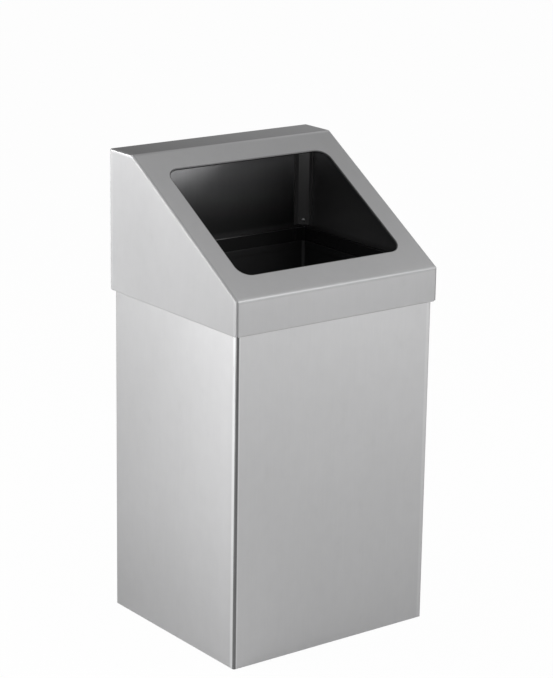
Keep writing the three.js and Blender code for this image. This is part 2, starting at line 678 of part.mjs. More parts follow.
/** Post across the right rear corner of the hood. */
function hoodPost() {
  const outline = foldedSheet([
    [POST_SIDE - POST_LEG - POST_FLANGE, POST_BACK],
    [POST_SIDE - POST_LEG, POST_BACK, POST_BEND],
    [POST_SIDE, POST_BACK - POST_LEG, POST_BEND],
    [POST_SIDE, POST_BACK - POST_LEG - POST_FLANGE],
  ], SHEET);
  const post = extrudeAlong('z', outline, PAD_SEAT + PAD_DROP, HOOD_TOP - BEND_RADIUS);
  return cut(post, rivetHole());
}

/** Rubber pad in the right rear corner, behind the post, that rests on the rim. */
function hoodPad() {
  const off = SEAM_GAP * Math.SQRT2; // along a wall, for the gap to the sloping post
  const leg = POST_LEG - off;
  const blunt = leg - PAD_TRIM / 2;
  const outline = [
    [-blunt, 0],
    [-PAD_TRIM, 0],
    [0, -PAD_TRIM],
    [0, -blunt],
    [-(leg - blunt), -blunt],
    [-blunt, -(leg - blunt)],
  ].map(([x, y]) => new THREE.Vector2(POST_SIDE + x, POST_BACK + y));
  return cut(extrudeAlong('z', outline, PAD_SEAT, PAD_SEAT + PAD_HEIGHT), rivetHole());
}

/** Dome-head rivet through the post into the pad. */
function hoodRivet() {
  const under = SHEET + RIVET_CLEARANCE;
  const dome = Array.from({ length: DOME_FACETS }, (_, k) => {
    const angle = (k / DOME_FACETS) * (Math.PI / 2);
    return [RIVET_HEAD_RADIUS * Math.cos(angle), under + RIVET_HEAD_HEIGHT * Math.sin(angle)];
  });
  return ontoPost(turned([
    [0, -RIVET_GRIP],
    [RIVET_RADIUS, -RIVET_GRIP],
    [RIVET_RADIUS, under],
    ...dome,
    [0, under + RIVET_HEAD_HEIGHT],
  ]));
}

function hood() {
  const group = new THREE.Group();
  group.add(part('hood_face_sheet', hoodFaceSheet(), stainless));
  const paired = [
    ['side', hoodSidePanel(), stainless],
    ['post', hoodPost(), stainless],
    ['pad', hoodPad(), blackRubber],
    ['rivet', hoodRivet(), zincPlated],
  ];
  paired.forEach(([name, geometry, finish]) => {
    group.add(part(`hood_${name}_right`, geometry, finish));
    group.add(part(`hood_${name}_left`, mirrored(geometry), finish));
  });
  return group;
}

// ---- Assembly -----------------------------------------------------------------------------

const receptacle = new THREE.Group();
receptacle.add(body(), liner(), hood());

export default receptacle;
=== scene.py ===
"""Looks of the hooded waste receptacle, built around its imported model.

Metres, +Z up, front towards -Y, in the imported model's own frame. Every sheet-metal piece is folded
again here with round bends, turned hems and deburred edges, and gets its finish. Pieces that move
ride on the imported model's bodies.
"""

import logging
import math
from collections.abc import Callable, Mapping, Sequence
from dataclasses import dataclass, replace
from enum import Enum
from functools import cache, reduce
from typing import Any

import bmesh
import bpy
from mathutils import Matrix, Vector


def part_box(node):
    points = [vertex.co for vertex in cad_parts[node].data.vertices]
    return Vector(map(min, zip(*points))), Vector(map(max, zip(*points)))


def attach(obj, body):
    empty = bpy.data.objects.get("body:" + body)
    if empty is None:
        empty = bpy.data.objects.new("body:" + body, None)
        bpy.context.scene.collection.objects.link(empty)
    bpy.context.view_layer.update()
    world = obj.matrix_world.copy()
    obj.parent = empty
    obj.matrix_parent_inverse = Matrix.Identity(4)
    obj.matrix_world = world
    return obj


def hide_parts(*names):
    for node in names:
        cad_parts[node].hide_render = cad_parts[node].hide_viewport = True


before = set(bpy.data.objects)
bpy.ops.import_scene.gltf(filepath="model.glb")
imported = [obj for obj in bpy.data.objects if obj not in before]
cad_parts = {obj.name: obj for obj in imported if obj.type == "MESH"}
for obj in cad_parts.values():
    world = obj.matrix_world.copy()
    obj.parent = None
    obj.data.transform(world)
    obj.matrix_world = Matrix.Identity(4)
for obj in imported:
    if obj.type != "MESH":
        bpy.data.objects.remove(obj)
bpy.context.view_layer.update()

LOG = logging.getLogger("receptacle")

Point2 = tuple[float, float]
Corner = tuple[float, float, float]  # x, y and the radius there
Colour = tuple[float, float, float]
Direction = tuple[float, float, float]
Grid = list[list[Vector]]
Section = list[tuple[Vector, Vector]]  # pairs of points on a sheet's near and far face

BEND_FACETS = 8  # faces round one bend
ROUND_FACETS = 48  # faces round a turned piece
MERGE_GRID = 1e-7  # corners that round to the same step of this are one corner
STRAIGHT = 1e-6  # a turn below this angle is none
LEAST_RADIUS = 1e-5  # what a bend keeps of its radius where its face runs out
EDGE_BREAK = 0.00012  # width of the deburred edge of a cut sheet
SHARP_ANGLE = math.radians(35)
MARK_FACETS = 24  # faces round a spot-weld mark
QUARTER_TURN = [math.pi / 2 * k / BEND_FACETS for k in range(BEND_FACETS + 1)]
X_AXIS, Y_AXIS, Z_AXIS = (1.0, 0.0, 0.0), (0.0, 1.0, 0.0), (0.0, 0.0, 1.0)
SIDES = ((-1, "left"), (1, "right"))

# ---- Outlines ------------------------------------------------------------------------------


@dataclass(frozen=True)
class PathPoint:
    """A point of a drawn path and the direction to the path's left."""

    place: Vector
    normal: Vector


def left_of(heading: Vector) -> Vector:
    """The direction to the left of a 2-D heading."""
    return Vector((-heading.y, heading.x))


def rounded_path(corners: Sequence[Corner]) -> list[PathPoint]:
    """Follows a polyline with its corners rounded.

    Args:
        corners: Corners as (x, y, radius).

    Returns:
        Points of the path. A corner where the path runs straight on gives one point.
    """
    points = [Vector(corner[:2]) for corner in corners]
    headings = [(b - a).normalized() for a, b in zip(points, points[1:])]
    path = [PathPoint(points[0], left_of(headings[0]))]
    for into, out, point, corner in zip(headings, headings[1:], points[1:], corners[1:]):
        turn = math.atan2(into.x * out.y - into.y * out.x, into.dot(out))
        if abs(turn) < STRAIGHT:
            path.append(PathPoint(point, left_of(into)))
            continue
        radius = corner[2]
        side = math.copysign(1, turn)
        start = point - into * (radius * math.tan(abs(turn) / 2))
        centre = start + left_of(into) * (side * radius)
        for step in range(BEND_FACETS + 1):
            normal = left_of(into)
            normal.rotate(Matrix.Rotation(turn * step / BEND_FACETS, 2))
            path.append(PathPoint(centre - normal * (side * radius), normal))
    path.append(PathPoint(points[-1], left_of(headings[-1])))
    return path


def folded_section(corners: Sequence[Corner], thickness: float) -> Section:
    """Section of a folded sheet, which lies to the right of the corners that are given.

    Args:
        corners: Corners of the near face as (x, y, outside radius of the bend).
        thickness: Thickness of the sheet.

    Returns:
        Pairs of points, one on the near face and one on the far face.
    """
    face = list(corners)
    for i in range(1, len(corners) - 1):
        before, (x, y, radius), after = corners[i - 1:i + 2]
        if (x - before[0]) * (after[1] - y) > (y - before[1]) * (after[0] - x):
            face[i] = (x, y, radius - thickness)
    return [(p.place, p.place - p.normal * thickness) for p in rounded_path(face)]


def swept(
    section: Section, stations: Sequence[Any], place: Callable[[Any, Vector], Vector]
) -> tuple[Grid, Grid]:
    """Carries a sheet's section along stations.

    Args:
        section: Section of the sheet.
        stations: Where the section is set down.
        place: Place of a point of the section at a station.

    Returns:
        Points of the near and the far face, as grid[station][point].
    """
    near, far = (
        [[place(station, pair[face]) for pair in section] for station in stations] for face in (0, 1))
    return near, far


def rounded_rectangle(low: Point2, high: Point2, radius: float, facets: int = BEND_FACETS) -> list[Vector]:
    """Outline of a rectangle with rounded corners, anticlockwise from its lower right corner.

    Args:
        low: Lowest corner.
        high: Highest corner.
        radius: Radius of the corners.
        facets: Faces round each corner.

    Returns:
        Points of the outline, facets + 1 of them at each corner.
    """
    (x0, y0), (x1, y1) = (low[0] + radius, low[1] + radius), (high[0] - radius, high[1] - radius)
    outline = []
    for quarter, (x, y) in enumerate([(x1, y0), (x1, y1), (x0, y1), (x0, y0)]):
        for step in range(facets + 1):
            angle = (quarter - 1 + step / facets) * math.pi / 2
            outline.append(Vector((x + radius * math.cos(angle), y + radius * math.sin(angle))))
    return outline


@dataclass(frozen=True)
class SheetStock:
    """A gauge of sheet metal and how it is folded."""

    thickness: float
    bend_radius: float
    hem_length: float
    seam_gap: float = 0.0003
    hem_notch: float = 0.001

    @property
    def hem_radius(self) -> float:
        """Outside radius of a flat hem's fold."""
        return self.thickness + self.seam_gap / 2

    @property
    def hem_standout(self) -> float:
        """How far a hem stands off the wall that carries it."""
        return 2 * self.hem_radius - self.thickness

    def hemmed(self, wall: float) -> Section:
        """Section of a wall, of some height below the fold, and the hem at its top."""
        turn, radius = 2 * self.hem_radius, self.hem_radius
        return folded_section(
            [(0, -wall, 0), (0, 0, radius), (turn, 0, radius), (turn, -self.hem_length, 0)],
            self.thickness)


STAINLESS_STOCK = SheetStock(thickness=0.0012, bend_radius=0.0032, hem_length=0.012)
LINER_STOCK = SheetStock(thickness=0.0008, bend_radius=0.006, hem_length=0.010)

# ---- Mesh building -------------------------------------------------------------------------


class Surface(Enum):
    """Which of a piece's finishes a face wears."""

    SHOW = 0
    INSIDE = 1
    # the mouth's turned edge, which wears a painted-shade finish
    LIP = 2


class Cell(Enum):
    """What a cell of a sheet's grid holds."""

    SHEET = 0
    NONE = 1  # a cut edge closes the sheet towards this cell
    OPEN = 2  # other faces carry on from the sheet here


class MeshBuilder:
    """Collects the faces of one piece, and joins corners that meet."""

    def __init__(self) -> None:
        """Starts with no faces."""
        self.bm = bmesh.new()
        self.corners: dict[tuple[int, ...], bmesh.types.BMVert] = {}

    def corner(self, place: Vector) -> bmesh.types.BMVert:
        """The vertex at a place, made when it is first asked for.

        Args:
            place: Where it is.

        Returns:
            The vertex.
        """
        key = tuple(round(value / MERGE_GRID) for value in place)
        if key not in self.corners:
            self.corners[key] = self.bm.verts.new(place)
        return self.corners[key]

    def face(self, places: Sequence[Vector], surface: Surface = Surface.SHOW) -> None:
        """Adds one face with a finish, or none if its corners fall on a line.

        Args:
            places: Its corners in order.
            surface: The finish that it wears.
        """
        corners = list(dict.fromkeys(self.corner(place) for place in places))
        if len(corners) < 3 or self.bm.faces.get(corners):
            return
        face = self.bm.faces.new(corners)
        face.material_index = surface.value
        face.smooth = True

    def sheet(
        self,
        near: Grid,
        far: Grid,
        open_at: Callable[[int, int], bool] = lambda i, j: False,
        hemmed: Sequence[bool] = (),
        hem_out: bool = False,
    ) -> "MeshBuilder":
        """Adds a sheet between two grids of points, with cut edges where it ends.

        Args:
            near: Points of one face, as near[i][j].
            far: Points of the other face.
            open_at: Whether other faces carry on from the sheet at a cell.
            hemmed: For each i, whether there is sheet past the first cell, or empty for all.
            hem_out: Whether the hem turns outwards, so that the first cell shows its far face.

        Returns:
            The builder.
        """
        rows, columns = len(near) - 1, len(near[0]) - 1

        def cell_at(i: int, j: int) -> Cell:
            """What a cell holds, also just outside the grid."""
            if open_at(i, j):
                return Cell.OPEN
            inside = 0 <= i < rows and 0 <= j < columns
            return Cell.SHEET if inside and (not (j and hemmed) or hemmed[i]) else Cell.NONE

        for i in range(rows):
            for j in range(columns):
                if cell_at(i, j) is not Cell.SHEET:
                    continue
                wears = [Surface.SHOW, Surface.INSIDE]
                if hem_out and j == 0:
                    wears.reverse()
                ring = [(i, j), (i + 1, j), (i + 1, j + 1), (i, j + 1)]
                self.face([near[a][b] for a, b in ring], wears[0])
                self.face([far[a][b] for a, b in reversed(ring)], wears[1])
                beyond = [(i, j - 1), (i + 1, j), (i, j + 1), (i - 1, j)]
                for side, neighbour in enumerate(beyond):
                    if cell_at(*neighbour) is Cell.NONE:
                        (a, b), (c, d) = ring[side], ring[(side + 1) % 4]
                        self.face([near[a][b], far[a][b], far[c][d], near[c][d]])
        return self

    def strips(self, rings: Sequence[Sequence[Vector]], surface: Surface = Surface.SHOW) -> None:
        """Joins closed rings of equally many points, each to the next.

        Args:
            rings: The rings in order.
            surface: The finish of their faces.
        """
        for ring, following in zip(rings, rings[1:]):
            for k in range(len(ring)):
                after = (k + 1) % len(ring)
                self.face([ring[k], ring[after], following[after], following[k]], surface)

    def solid(self, rings: Sequence[Sequence[Vector]]) -> "MeshBuilder":
        """Joins rings and closes both ends.

        Args:
            rings: Closed rings of equally many points.

        Returns:
            The builder.
        """
        self.strips(rings)
        self.face(rings[0])
        self.face(rings[-1])
        return self

    def turned(self, outline: Sequence[Point2]) -> "MeshBuilder":
        """Adds a body turned about +Z.

        Args:
            outline: Points as (radius, height), closed or with both ends on the axis.

        Returns:
            The builder.
        """
        angles = [2 * math.pi * k / ROUND_FACETS for k in range(ROUND_FACETS)]
        self.strips([
            [Vector((radius * math.cos(a), radius * math.sin(a), height)) for a in angles]
            for radius, height in outline
        ])
        return self

    def pan(
        self, node: str, corner: float, bend: float, thickness: float, upside_down: bool = False
    ) -> "MeshBuilder":
        """Adds a sheet pan, open below, with rounded upper edges.

        Args:
            node: Node whose box it fills.
            corner: Radius of its upright corners.
            bend: Outside radius of its upper edge.
            thickness: Thickness of its sheet.
            upside_down: Whether it is open above instead.

        Returns:
            The builder.
        """
        low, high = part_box(node)
        over = 1
        if upside_down:
            low, high = Vector((low.x, -high.y, -high.z)), Vector((high.x, -low.y, -low.z))
            over = -1

        def ring(inset: float, height: float) -> list[Vector]:
            """The closed outline at a height."""
            points = rounded_rectangle(
                (low.x + inset, low.y + inset), (high.x - inset, high.y - inset), corner - inset)
            return [Vector((x, over * y, over * height)) for x, y in points + points[:1]]

        def side(offset: float) -> Grid:
            """Points of the face at an offset from the outer one."""
            radius = bend - offset
            bent = [
                (bend - radius * math.cos(a), high.z - bend + radius * math.sin(a)) for a in QUARTER_TURN]
            return [list(points) for points in zip(*[ring(*place) for place in [(offset, low.z), *bent]])]

        near, far = side(0), side(thickness)
        rows, last = len(near) - 1, len(near[0]) - 1
        self.sheet(near, far, lambda i, j: j >= last or j >= 0 and not 0 <= i < rows)
        self.face([points[-1] for points in near[:-1]])
        self.face([points[-1] for points in far[:-1]], Surface.INSIDE)
        return self


def linked(name: str, data: bpy.types.ID) -> bpy.types.Object:
    """A new object in the scene.

    Args:
        name: Name of the object.
        data: What it shows.

    Returns:
        The object.
    """
    made = bpy.data.objects.new(name, data)
    bpy.context.scene.collection.objects.link(made)
    return made


def modify(piece: bpy.types.Object, name: str, kind: str, **settings: Any) -> None:
    """Adds a modifier with its settings to a piece.

    Args:
        piece: The piece.
        name: Name of the modifier.
        kind: Its type.
        settings: Its properties.
    """
    modifier = piece.modifiers.new(name, kind)
    for key, value in settings.items():
        setattr(modifier, key, value)


def plain_mesh(piece: bpy.types.Object) -> bpy.types.Object:
    """Turns a piece's modifiers into its own mesh, so that none is left on it.

    Args:
        piece: The piece.

    Returns:
        The same piece.
    """
    depsgraph = bpy.context.evaluated_depsgraph_get()
    shape = bpy.data.meshes.new_from_object(
        piece.evaluated_get(depsgraph), preserve_all_data_layers=True, depsgraph=depsgraph)
    piece.modifiers.clear()
    piece.data = shape
    shape.name = piece.name
    return piece


def settled(
    name: str, builder: MeshBuilder, finishes: Sequence["Finish"], edge: float = EDGE_BREAK
) -> bpy.types.Object:
    """Makes a finished piece out of what a builder holds.

    Args:
        name: Name of the piece.
        builder: The builder, which is used up.
        finishes: The finish of each Surface, in order. The last one serves for those after it.
        edge: Width of the broken edges, or 0 to leave them sharp.

    Returns:
        The piece, with its edges broken and its faces pointing out.
    """
    bmesh.ops.recalc_face_normals(builder.bm, faces=builder.bm.faces)
    for face in builder.bm.faces:
        face.material_index = min(face.material_index, len(finishes) - 1)
    shape = bpy.data.meshes.new(name)
    builder.bm.to_mesh(shape)
    builder.bm.free()
    shape.set_sharp_from_angle(angle=SHARP_ANGLE)
    for finish in finishes:
        shape.materials.append(finish.material())
    piece = linked(name, shape)
    if edge:
        modify(
            piece, "edge_break", "BEVEL", width=edge, segments=2, limit_method="ANGLE",
            angle_limit=SHARP_ANGLE, use_clamp_overlap=False)
    modify(piece, "flat_faces", "WEIGHTED_NORMAL", mode="FACE_AREA", keep_sharp=True)
    return plain_mesh(piece)


# ---- Node trees ----------------------------------------------------------------------------


class NodeTree:
    """A node tree that is built by one method."""

    def __init__(self, tree: bpy.types.NodeTree) -> None:
        """Takes an empty tree of any kind."""
        self.tree = tree

    def node(self, kind: str, inputs: Mapping[Any, Any] | None = None, **settings: Any) -> bpy.types.Node:
        """Adds a node.

        Args:
            kind: Type of the node.
            inputs: Values or links of its sockets, by name or number.
            settings: Its properties. stops sets the stops of a ramp, as (position, colour).

        Returns:
            The node.
        """
        made = self.tree.nodes.new(kind)
        for key, value in settings.items():
            if key == "stops":
                self.set_stops(made.color_ramp.elements, value)
            else:
                setattr(made, key, value)
        for key, value in (inputs or {}).items():
            self.set_input(made.inputs[key], value)
        return made

    @staticmethod
    def set_stops(elements: bpy.types.ColorRampElements, stops: Sequence[tuple[float, Colour]]) -> None:
        """Sets the stops of a colour ramp."""
        while len(elements) < len(stops):
            elements.new(1)
        for element, (position, colour) in zip(elements, stops):
            element.position, element.color = position, (*colour, 1)

    def value(
        self, kind: str, inputs: Mapping[Any, Any], output: int | str = 0, **settings: Any
    ) -> "Value":
        """Adds a node and wraps one of its outputs, as node() does otherwise."""
        return Value(self, self.node(kind, inputs, **settings).outputs[output])

    def set_input(self, socket: bpy.types.NodeSocket, value: Any) -> None:
        """Links a socket to another, to a Value or a node's first output, or sets it."""
        if isinstance(value, Value):
            value = value.socket
        elif isinstance(value, bpy.types.Node):
            value = value.outputs[0]
        if isinstance(value, bpy.types.NodeSocket):
            self.tree.links.new(value, socket)
        elif socket.type == "RGBA":
            socket.default_value = (*value, 1)
        else:
            socket.default_value = value


class GeometryTree(NodeTree):
    """A Geometry Nodes tree with named inputs, which is run once on a carrier mesh."""

    def __init__(self, name: str, kinds: Mapping[str, str]) -> None:
        """Makes a tree with a geometry going in and out.

        Args:
            name: Name of the tree.
            kinds: Socket kind of each named input, such as Float. An input for the finish is added.
        """
        super().__init__(bpy.data.node_groups.new(name, "GeometryNodeTree"))
        new_socket = self.tree.interface.new_socket
        for way in ("INPUT", "OUTPUT"):
            new_socket("Geometry", in_out=way, socket_type="NodeSocketGeometry")
        self.identifiers = {
            key: new_socket(key, in_out="INPUT", socket_type=f"NodeSocket{kind}").identifier
            for key, kind in {**kinds, "Finish": "Material"}.items()
        }
        self.given = self.tree.nodes.new("NodeGroupInput").outputs

    def finish(self, geometry: bpy.types.Node) -> "GeometryTree":
        """Ends the tree: instances become real and get the finish.

        Args:
            geometry: The node that gives them.

        Returns:
            The tree.
        """
        real = self.node("GeometryNodeRealizeInstances", {"Geometry": geometry})
        dressed = self.node("GeometryNodeSetMaterial", {"Geometry": real, "Material": self.given["Finish"]})
        self.node("NodeGroupOutput", {0: dressed})
        return self

    def run(
        self, name: str, carrier: bpy.types.Mesh, finish: "Finish", values: Mapping[str, Any]
    ) -> bpy.types.Object:
        """Runs the tree on a carrier mesh.

        Args:
            name: Name of the piece that comes out.
            carrier: Points or lines that the tree works on.
            finish: Finish of the piece.
            values: Values of the named inputs.

        Returns:
            The piece, a plain mesh.
        """
        piece = linked(name, carrier)
        modifier = piece.modifiers.new(self.tree.name, "NODES")
        modifier.node_group = self.tree
        for key, value in {**values, "Finish": finish.material()}.items():
            modifier[self.identifiers[key]] = value
        return plain_mesh(piece)


def carrier_mesh(
    points: Sequence[Sequence[float]], lines: Sequence[tuple[int, int]] = (), **attributes: Sequence[Any]
) -> bpy.types.Mesh:
    """A mesh of points and lines for a tree to work on.

    Args:
        points: Places of the points.
        lines: Pairs of points.
        attributes: Numbers or triples to keep on the points, by name.

    Returns:
        The mesh.
    """
    mesh = bpy.data.meshes.new("carrier")
    mesh.from_pydata([tuple(point) for point in points], list(lines), [])
    for key, values in attributes.items():
        kind, field = ("FLOAT_VECTOR", "vector") if isinstance(values[0], tuple) else ("FLOAT", "value")
        for item, value in zip(mesh.attributes.new(key, kind, "POINT").data, values):
            setattr(item, field, value)
    return mesh


@cache
def copies_tree() -> GeometryTree:
    """Tree that sets a piece on each point, turned by the point's attribute "turn"."""
    tree = GeometryTree("placed_copies", {"Piece": "Object", "Size": "Float"})
    piece = tree.node("GeometryNodeObjectInfo", {"Object": tree.given["Piece"]})
    turn = tree.node("GeometryNodeInputNamedAttribute", {"Name": "turn"}, data_type="FLOAT_VECTOR")
    return tree.finish(tree.node("GeometryNodeInstanceOnPoints", {
        "Points": tree.given["Geometry"],
        "Instance": piece.outputs["Geometry"],
        "Rotation": tree.node("FunctionNodeEulerToRotation", {"Euler": turn.outputs["Attribute"]}),
        "Scale": tree.given["Size"],
    }))


@cache
def wire_tree() -> GeometryTree:
    """Tree that bends a wire along lines, each corner by its point's attribute "bend"."""
    tree = GeometryTree("bent_wire", {
        "Wire radius": "Float", "Faces round": "Int", "Faces per bend": "Int"})
    bend = tree.node("GeometryNodeInputNamedAttribute", {"Name": "bend"}, data_type="FLOAT")
    fillet = tree.node("GeometryNodeFilletCurve", {
        "Curve": tree.node("GeometryNodeMeshToCurve", {"Mesh": tree.given["Geometry"]}),
        "Count": tree.given["Faces per bend"],
        "Radius": bend.outputs["Attribute"],
    }, mode="POLY")
    section = tree.node("GeometryNodeCurvePrimitiveCircle", {
        "Resolution": tree.given["Faces round"], "Radius": tree.given["Wire radius"]})
    return tree.finish(tree.node("GeometryNodeCurveToMesh", {
        "Curve": fillet, "Profile Curve": section, "Fill Caps": True}))


@cache
def spot_weld_tree() -> GeometryTree:
    """Tree that sets shallow weld marks along lines at an even pitch, each a little different."""
    tree = GeometryTree("spot_welds", {
        "Pitch": "Float", "Mark radius": "Float", "Mark height": "Float", "Crown": "Float",
        "Least size": "Float", "Seed": "Int"})
    row = tree.node("GeometryNodeResampleCurve", {
        "Curve": tree.node("GeometryNodeMeshToCurve", {"Mesh": tree.given["Geometry"]}),
        "Length": tree.given["Pitch"],
    }, mode="LENGTH")
    mark = tree.node("GeometryNodeMeshCone", {
        "Vertices": MARK_FACETS,
        "Radius Top": tree.given["Crown"],
        "Radius Bottom": tree.given["Mark radius"],
        "Depth": tree.given["Mark height"],
    })
    size = tree.node("FunctionNodeRandomValue", {
        "Min": tree.given["Least size"], "Max": 1.0, "Seed": tree.given["Seed"]}, data_type="FLOAT")
    return tree.finish(tree.node("GeometryNodeInstanceOnPoints", {
        "Points": row,
        "Instance": mark.outputs["Mesh"],
        "Rotation": (-math.pi / 2, 0, 0),
        "Scale": size.outputs["Value"],
    }))


@dataclass(frozen=True)
class Rider:
    """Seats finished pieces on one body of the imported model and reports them."""

    body: str

    def seat(self, piece: bpy.types.Object, slot: str, *nodes: str) -> None:
        """Sets a piece on the body.

        Args:
            piece: The finished piece.
            slot: The record's material slot. It is not used.
            nodes: Nodes that it stands for.
        """
        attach(piece, self.body)
        if nodes:
            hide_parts(*nodes)
        LOG.info("%s: %d faces, rides on %s", piece.name, len(piece.data.polygons), self.body)

    def seat_copies(
        self, name: str, pattern: bpy.types.Object, finish: "Finish", spots: Mapping[str, tuple], slot: str
    ) -> None:
        """Sets copies of a pattern on the body, as one piece.

        Args:
            name: Name of the piece.
            pattern: What is copied. It is used up.
            finish: Its finish.
            spots: Place and turn of the copy that stands for each node.
            slot: The record's material slot.
        """
        places, turns = zip(*spots.values())
        piece = copies_tree().run(
            name, carrier_mesh(places, turn=turns), finish, {"Piece": pattern, "Size": 1.0})
        bpy.data.objects.remove(pattern)
        self.seat(piece, slot, *spots)


# ---- Shader maths --------------------------------------------------------------------------


class Value:
    """A number in a shader. Python's operators add Math nodes to its tree."""

    def __init__(self, tree: NodeTree, socket: bpy.types.NodeSocket) -> None:
        """Wraps a socket of a tree."""
        self.tree = tree
        self.socket = socket

    def maths(self, operation: str, *operands: Any, clamped: bool = False) -> "Value":
        """Adds a Math node on the operands, which are numbers or Values."""
        inputs = dict(enumerate(operands))
        return self.tree.value("ShaderNodeMath", inputs, operation=operation, use_clamp=clamped)

    def __add__(self, other: Any) -> "Value":
        """self + other."""
        return self.maths("ADD", self, other)

    def __radd__(self, other: Any) -> "Value":
        """other + self."""
        return self.maths("ADD", other, self)

    def __sub__(self, other: Any) -> "Value":
        """self - other."""
        return self.maths("SUBTRACT", self, other)

    def __rsub__(self, other: Any) -> "Value":
        """other - self."""
        return self.maths("SUBTRACT", other, self)

    def __mul__(self, other: Any) -> "Value":
        """self * other."""
        return self.maths("MULTIPLY", self, other)

    def __rmul__(self, other: Any) -> "Value":
        """other * self."""
        return self.maths("MULTIPLY", other, self)

    def __abs__(self) -> "Value":
        """The size of the number without its sign."""
        return self.maths("ABSOLUTE", self)

    def clamped(self) -> "Value":
        """The number kept between 0 and 1."""
        return self.maths("ADD", self, 0.0, clamped=True)

    def greater(self, other: Any) -> "Value":
        """The greater of two numbers."""
        return self.maths("MAXIMUM", self, other)

    def fade(self, start: float, end: float) -> "Value":
        """0 at start and 1 at end, smoothly between them and level outside."""
        return self.tree.value("ShaderNodeMapRange", {
            "Value": self, "From Min": start, "From Max": end}, interpolation_type="SMOOTHSTEP")


class Shading(NodeTree):
    """The node tree of one material."""

    def __init__(self, name: str) -> None:
        """Makes a material with an empty tree, but for where a point lies.

        Args:
            name: Name of the material.
        """
        self.material = bpy.data.materials.new(name)
        self.material.use_nodes = True
        super().__init__(self.material.node_tree)
        self.tree.nodes.clear()
        self.place = self.node("ShaderNodeTexCoord").outputs["Object"]

    def along(self, direction: Direction) -> Value:
        """How far a point lies along a direction from the origin."""
        return self.value("ShaderNodeVectorMath", {
            0: self.place, 1: direction}, "Value", operation="DOT_PRODUCT")

    def stretched(self, scale: float | Direction) -> bpy.types.Node:
        """Object coordinates, with each axis multiplied."""
        if isinstance(scale, (int, float)):
            scale = (scale, scale, scale)
        return self.node("ShaderNodeVectorMath", {0: self.place, 1: scale}, operation="MULTIPLY")

    def noise(self, scale: float | Direction, detail: float = 2.0, roughness: float = 0.5) -> Value:
        """Noise about 0, mostly between -0.5 and 0.5.

        Args:
            scale: Features per metre, along each axis or along all three.
            detail: Octaves of finer noise.
            roughness: How strong the finer octaves are.

        Returns:
            The noise.
        """
        return self.value("ShaderNodeTexNoise", {
            "Vector": self.stretched(scale), "Scale": 1.0, "Detail": detail, "Roughness": roughness,
        }, "Fac") - 0.5

    def cells(self, scale: float) -> Value:
        """Distance to the middle within a pattern of cells."""
        return self.value("ShaderNodeTexVoronoi", {
            "Vector": self.stretched(scale), "Scale": 1.0}, "Distance")

    def mixed(self, factor: Value, low: Any, high: Any) -> bpy.types.NodeSocket:
        """A mix of two colours.

        Args:
            factor: Share of the second.
            low: The first colour, as numbers or a socket.
            high: The second.

        Returns:
            The mix.
        """
        return self.node("ShaderNodeMix", {0: factor, 6: low, 7: high}, data_type="RGBA").outputs[2]

    def multiplied(self, colour: bpy.types.NodeSocket, factor: Value) -> bpy.types.Node:
        """A colour made lighter or darker by a factor that varies."""
        return self.node("ShaderNodeVectorMath", {0: colour, "Scale": factor}, operation="SCALE")

    def surface(
        self, colour: Any, roughness: Value, height: Value, depth: float, **others: Any
    ) -> bpy.types.Material:
        """Ends the tree in one Principled shader.

        Args:
            colour: Base colour.
            roughness: Roughness, before it is clamped.
            height: Height of the bumps, in units of depth.
            depth: That unit in metres.
            others: More inputs, by name with underscores. Metal is 1 if it isn't among them.

        Returns:
            The material.
        """
        inputs = {"Base_Color": colour, "Metallic": 1.0, "Roughness": roughness.clamped(), **others}
        inputs["Normal"] = self.node("ShaderNodeBump", {
            "Height": height, "Distance": depth, "Strength": 1.0})
        return self.ended(self.node("ShaderNodeBsdfPrincipled", {
            key.replace("_", " "): value for key, value in inputs.items()}))

    def ended(self, shader: bpy.types.Node) -> bpy.types.Material:
        """Ends the tree in a shader and returns the material."""
        self.node("ShaderNodeOutputMaterial", {"Surface": shader})
        return self.material


def scaled(colour: Colour, factor: float) -> Colour:
    """A colour made lighter or darker."""
    return tuple(channel * factor for channel in colour)


# ---- Marks on sheet metal: painted highlights, painted dark reflections and painted shade ---

FACE_SOFTNESS = 0.1  # over which a mark on a flat face fades towards the bend, in bend radii
BEND_FADE = (0.95, 1.25)  # where a bend's own painted dark reflection and dull band end, in bend radii
LINE_FADE = (0.9, 1.2)  # where the painted highlight beside it begins, in bend radii
LINE_TAIL = 0.5  # over which that painted highlight fades out, in its own widths


@dataclass(frozen=True)
class Plane:
    """A flat face of a piece: the points where normal . place = offset."""

    normal: Direction
    offset: float

    def distance(self, shading: Shading) -> Value:
        """How far a point of the surface is from the plane."""
        return abs(shading.along(self.normal) - self.offset)


@dataclass(frozen=True)
class Flank:
    """A flat face beside a bend, and the painted highlight line beside the bend on it."""

    plane: Plane
    width: float = 0.0
    # strength of the painted highlight beside the bend
    painted_highlight: float = 0.0

    def mask(self, shading: Shading, radius: float, across: Value) -> Value:
        """How strong the painted highlight line is here.

        Args:
            shading: The material's tree.
            radius: Outside radius of the bend.
            across: Distance from the other flat face.

        Returns:
            The share.
        """
        on_face = 1 - self.plane.distance(shading).fade(0.0, radius * FACE_SOFTNESS)
        start = across.fade(radius * LINE_FADE[0], radius * LINE_FADE[1])
        end = radius + self.width
        line = start * (1 - across.fade(end, end + self.width * LINE_TAIL))
        return on_face * line * self.painted_highlight


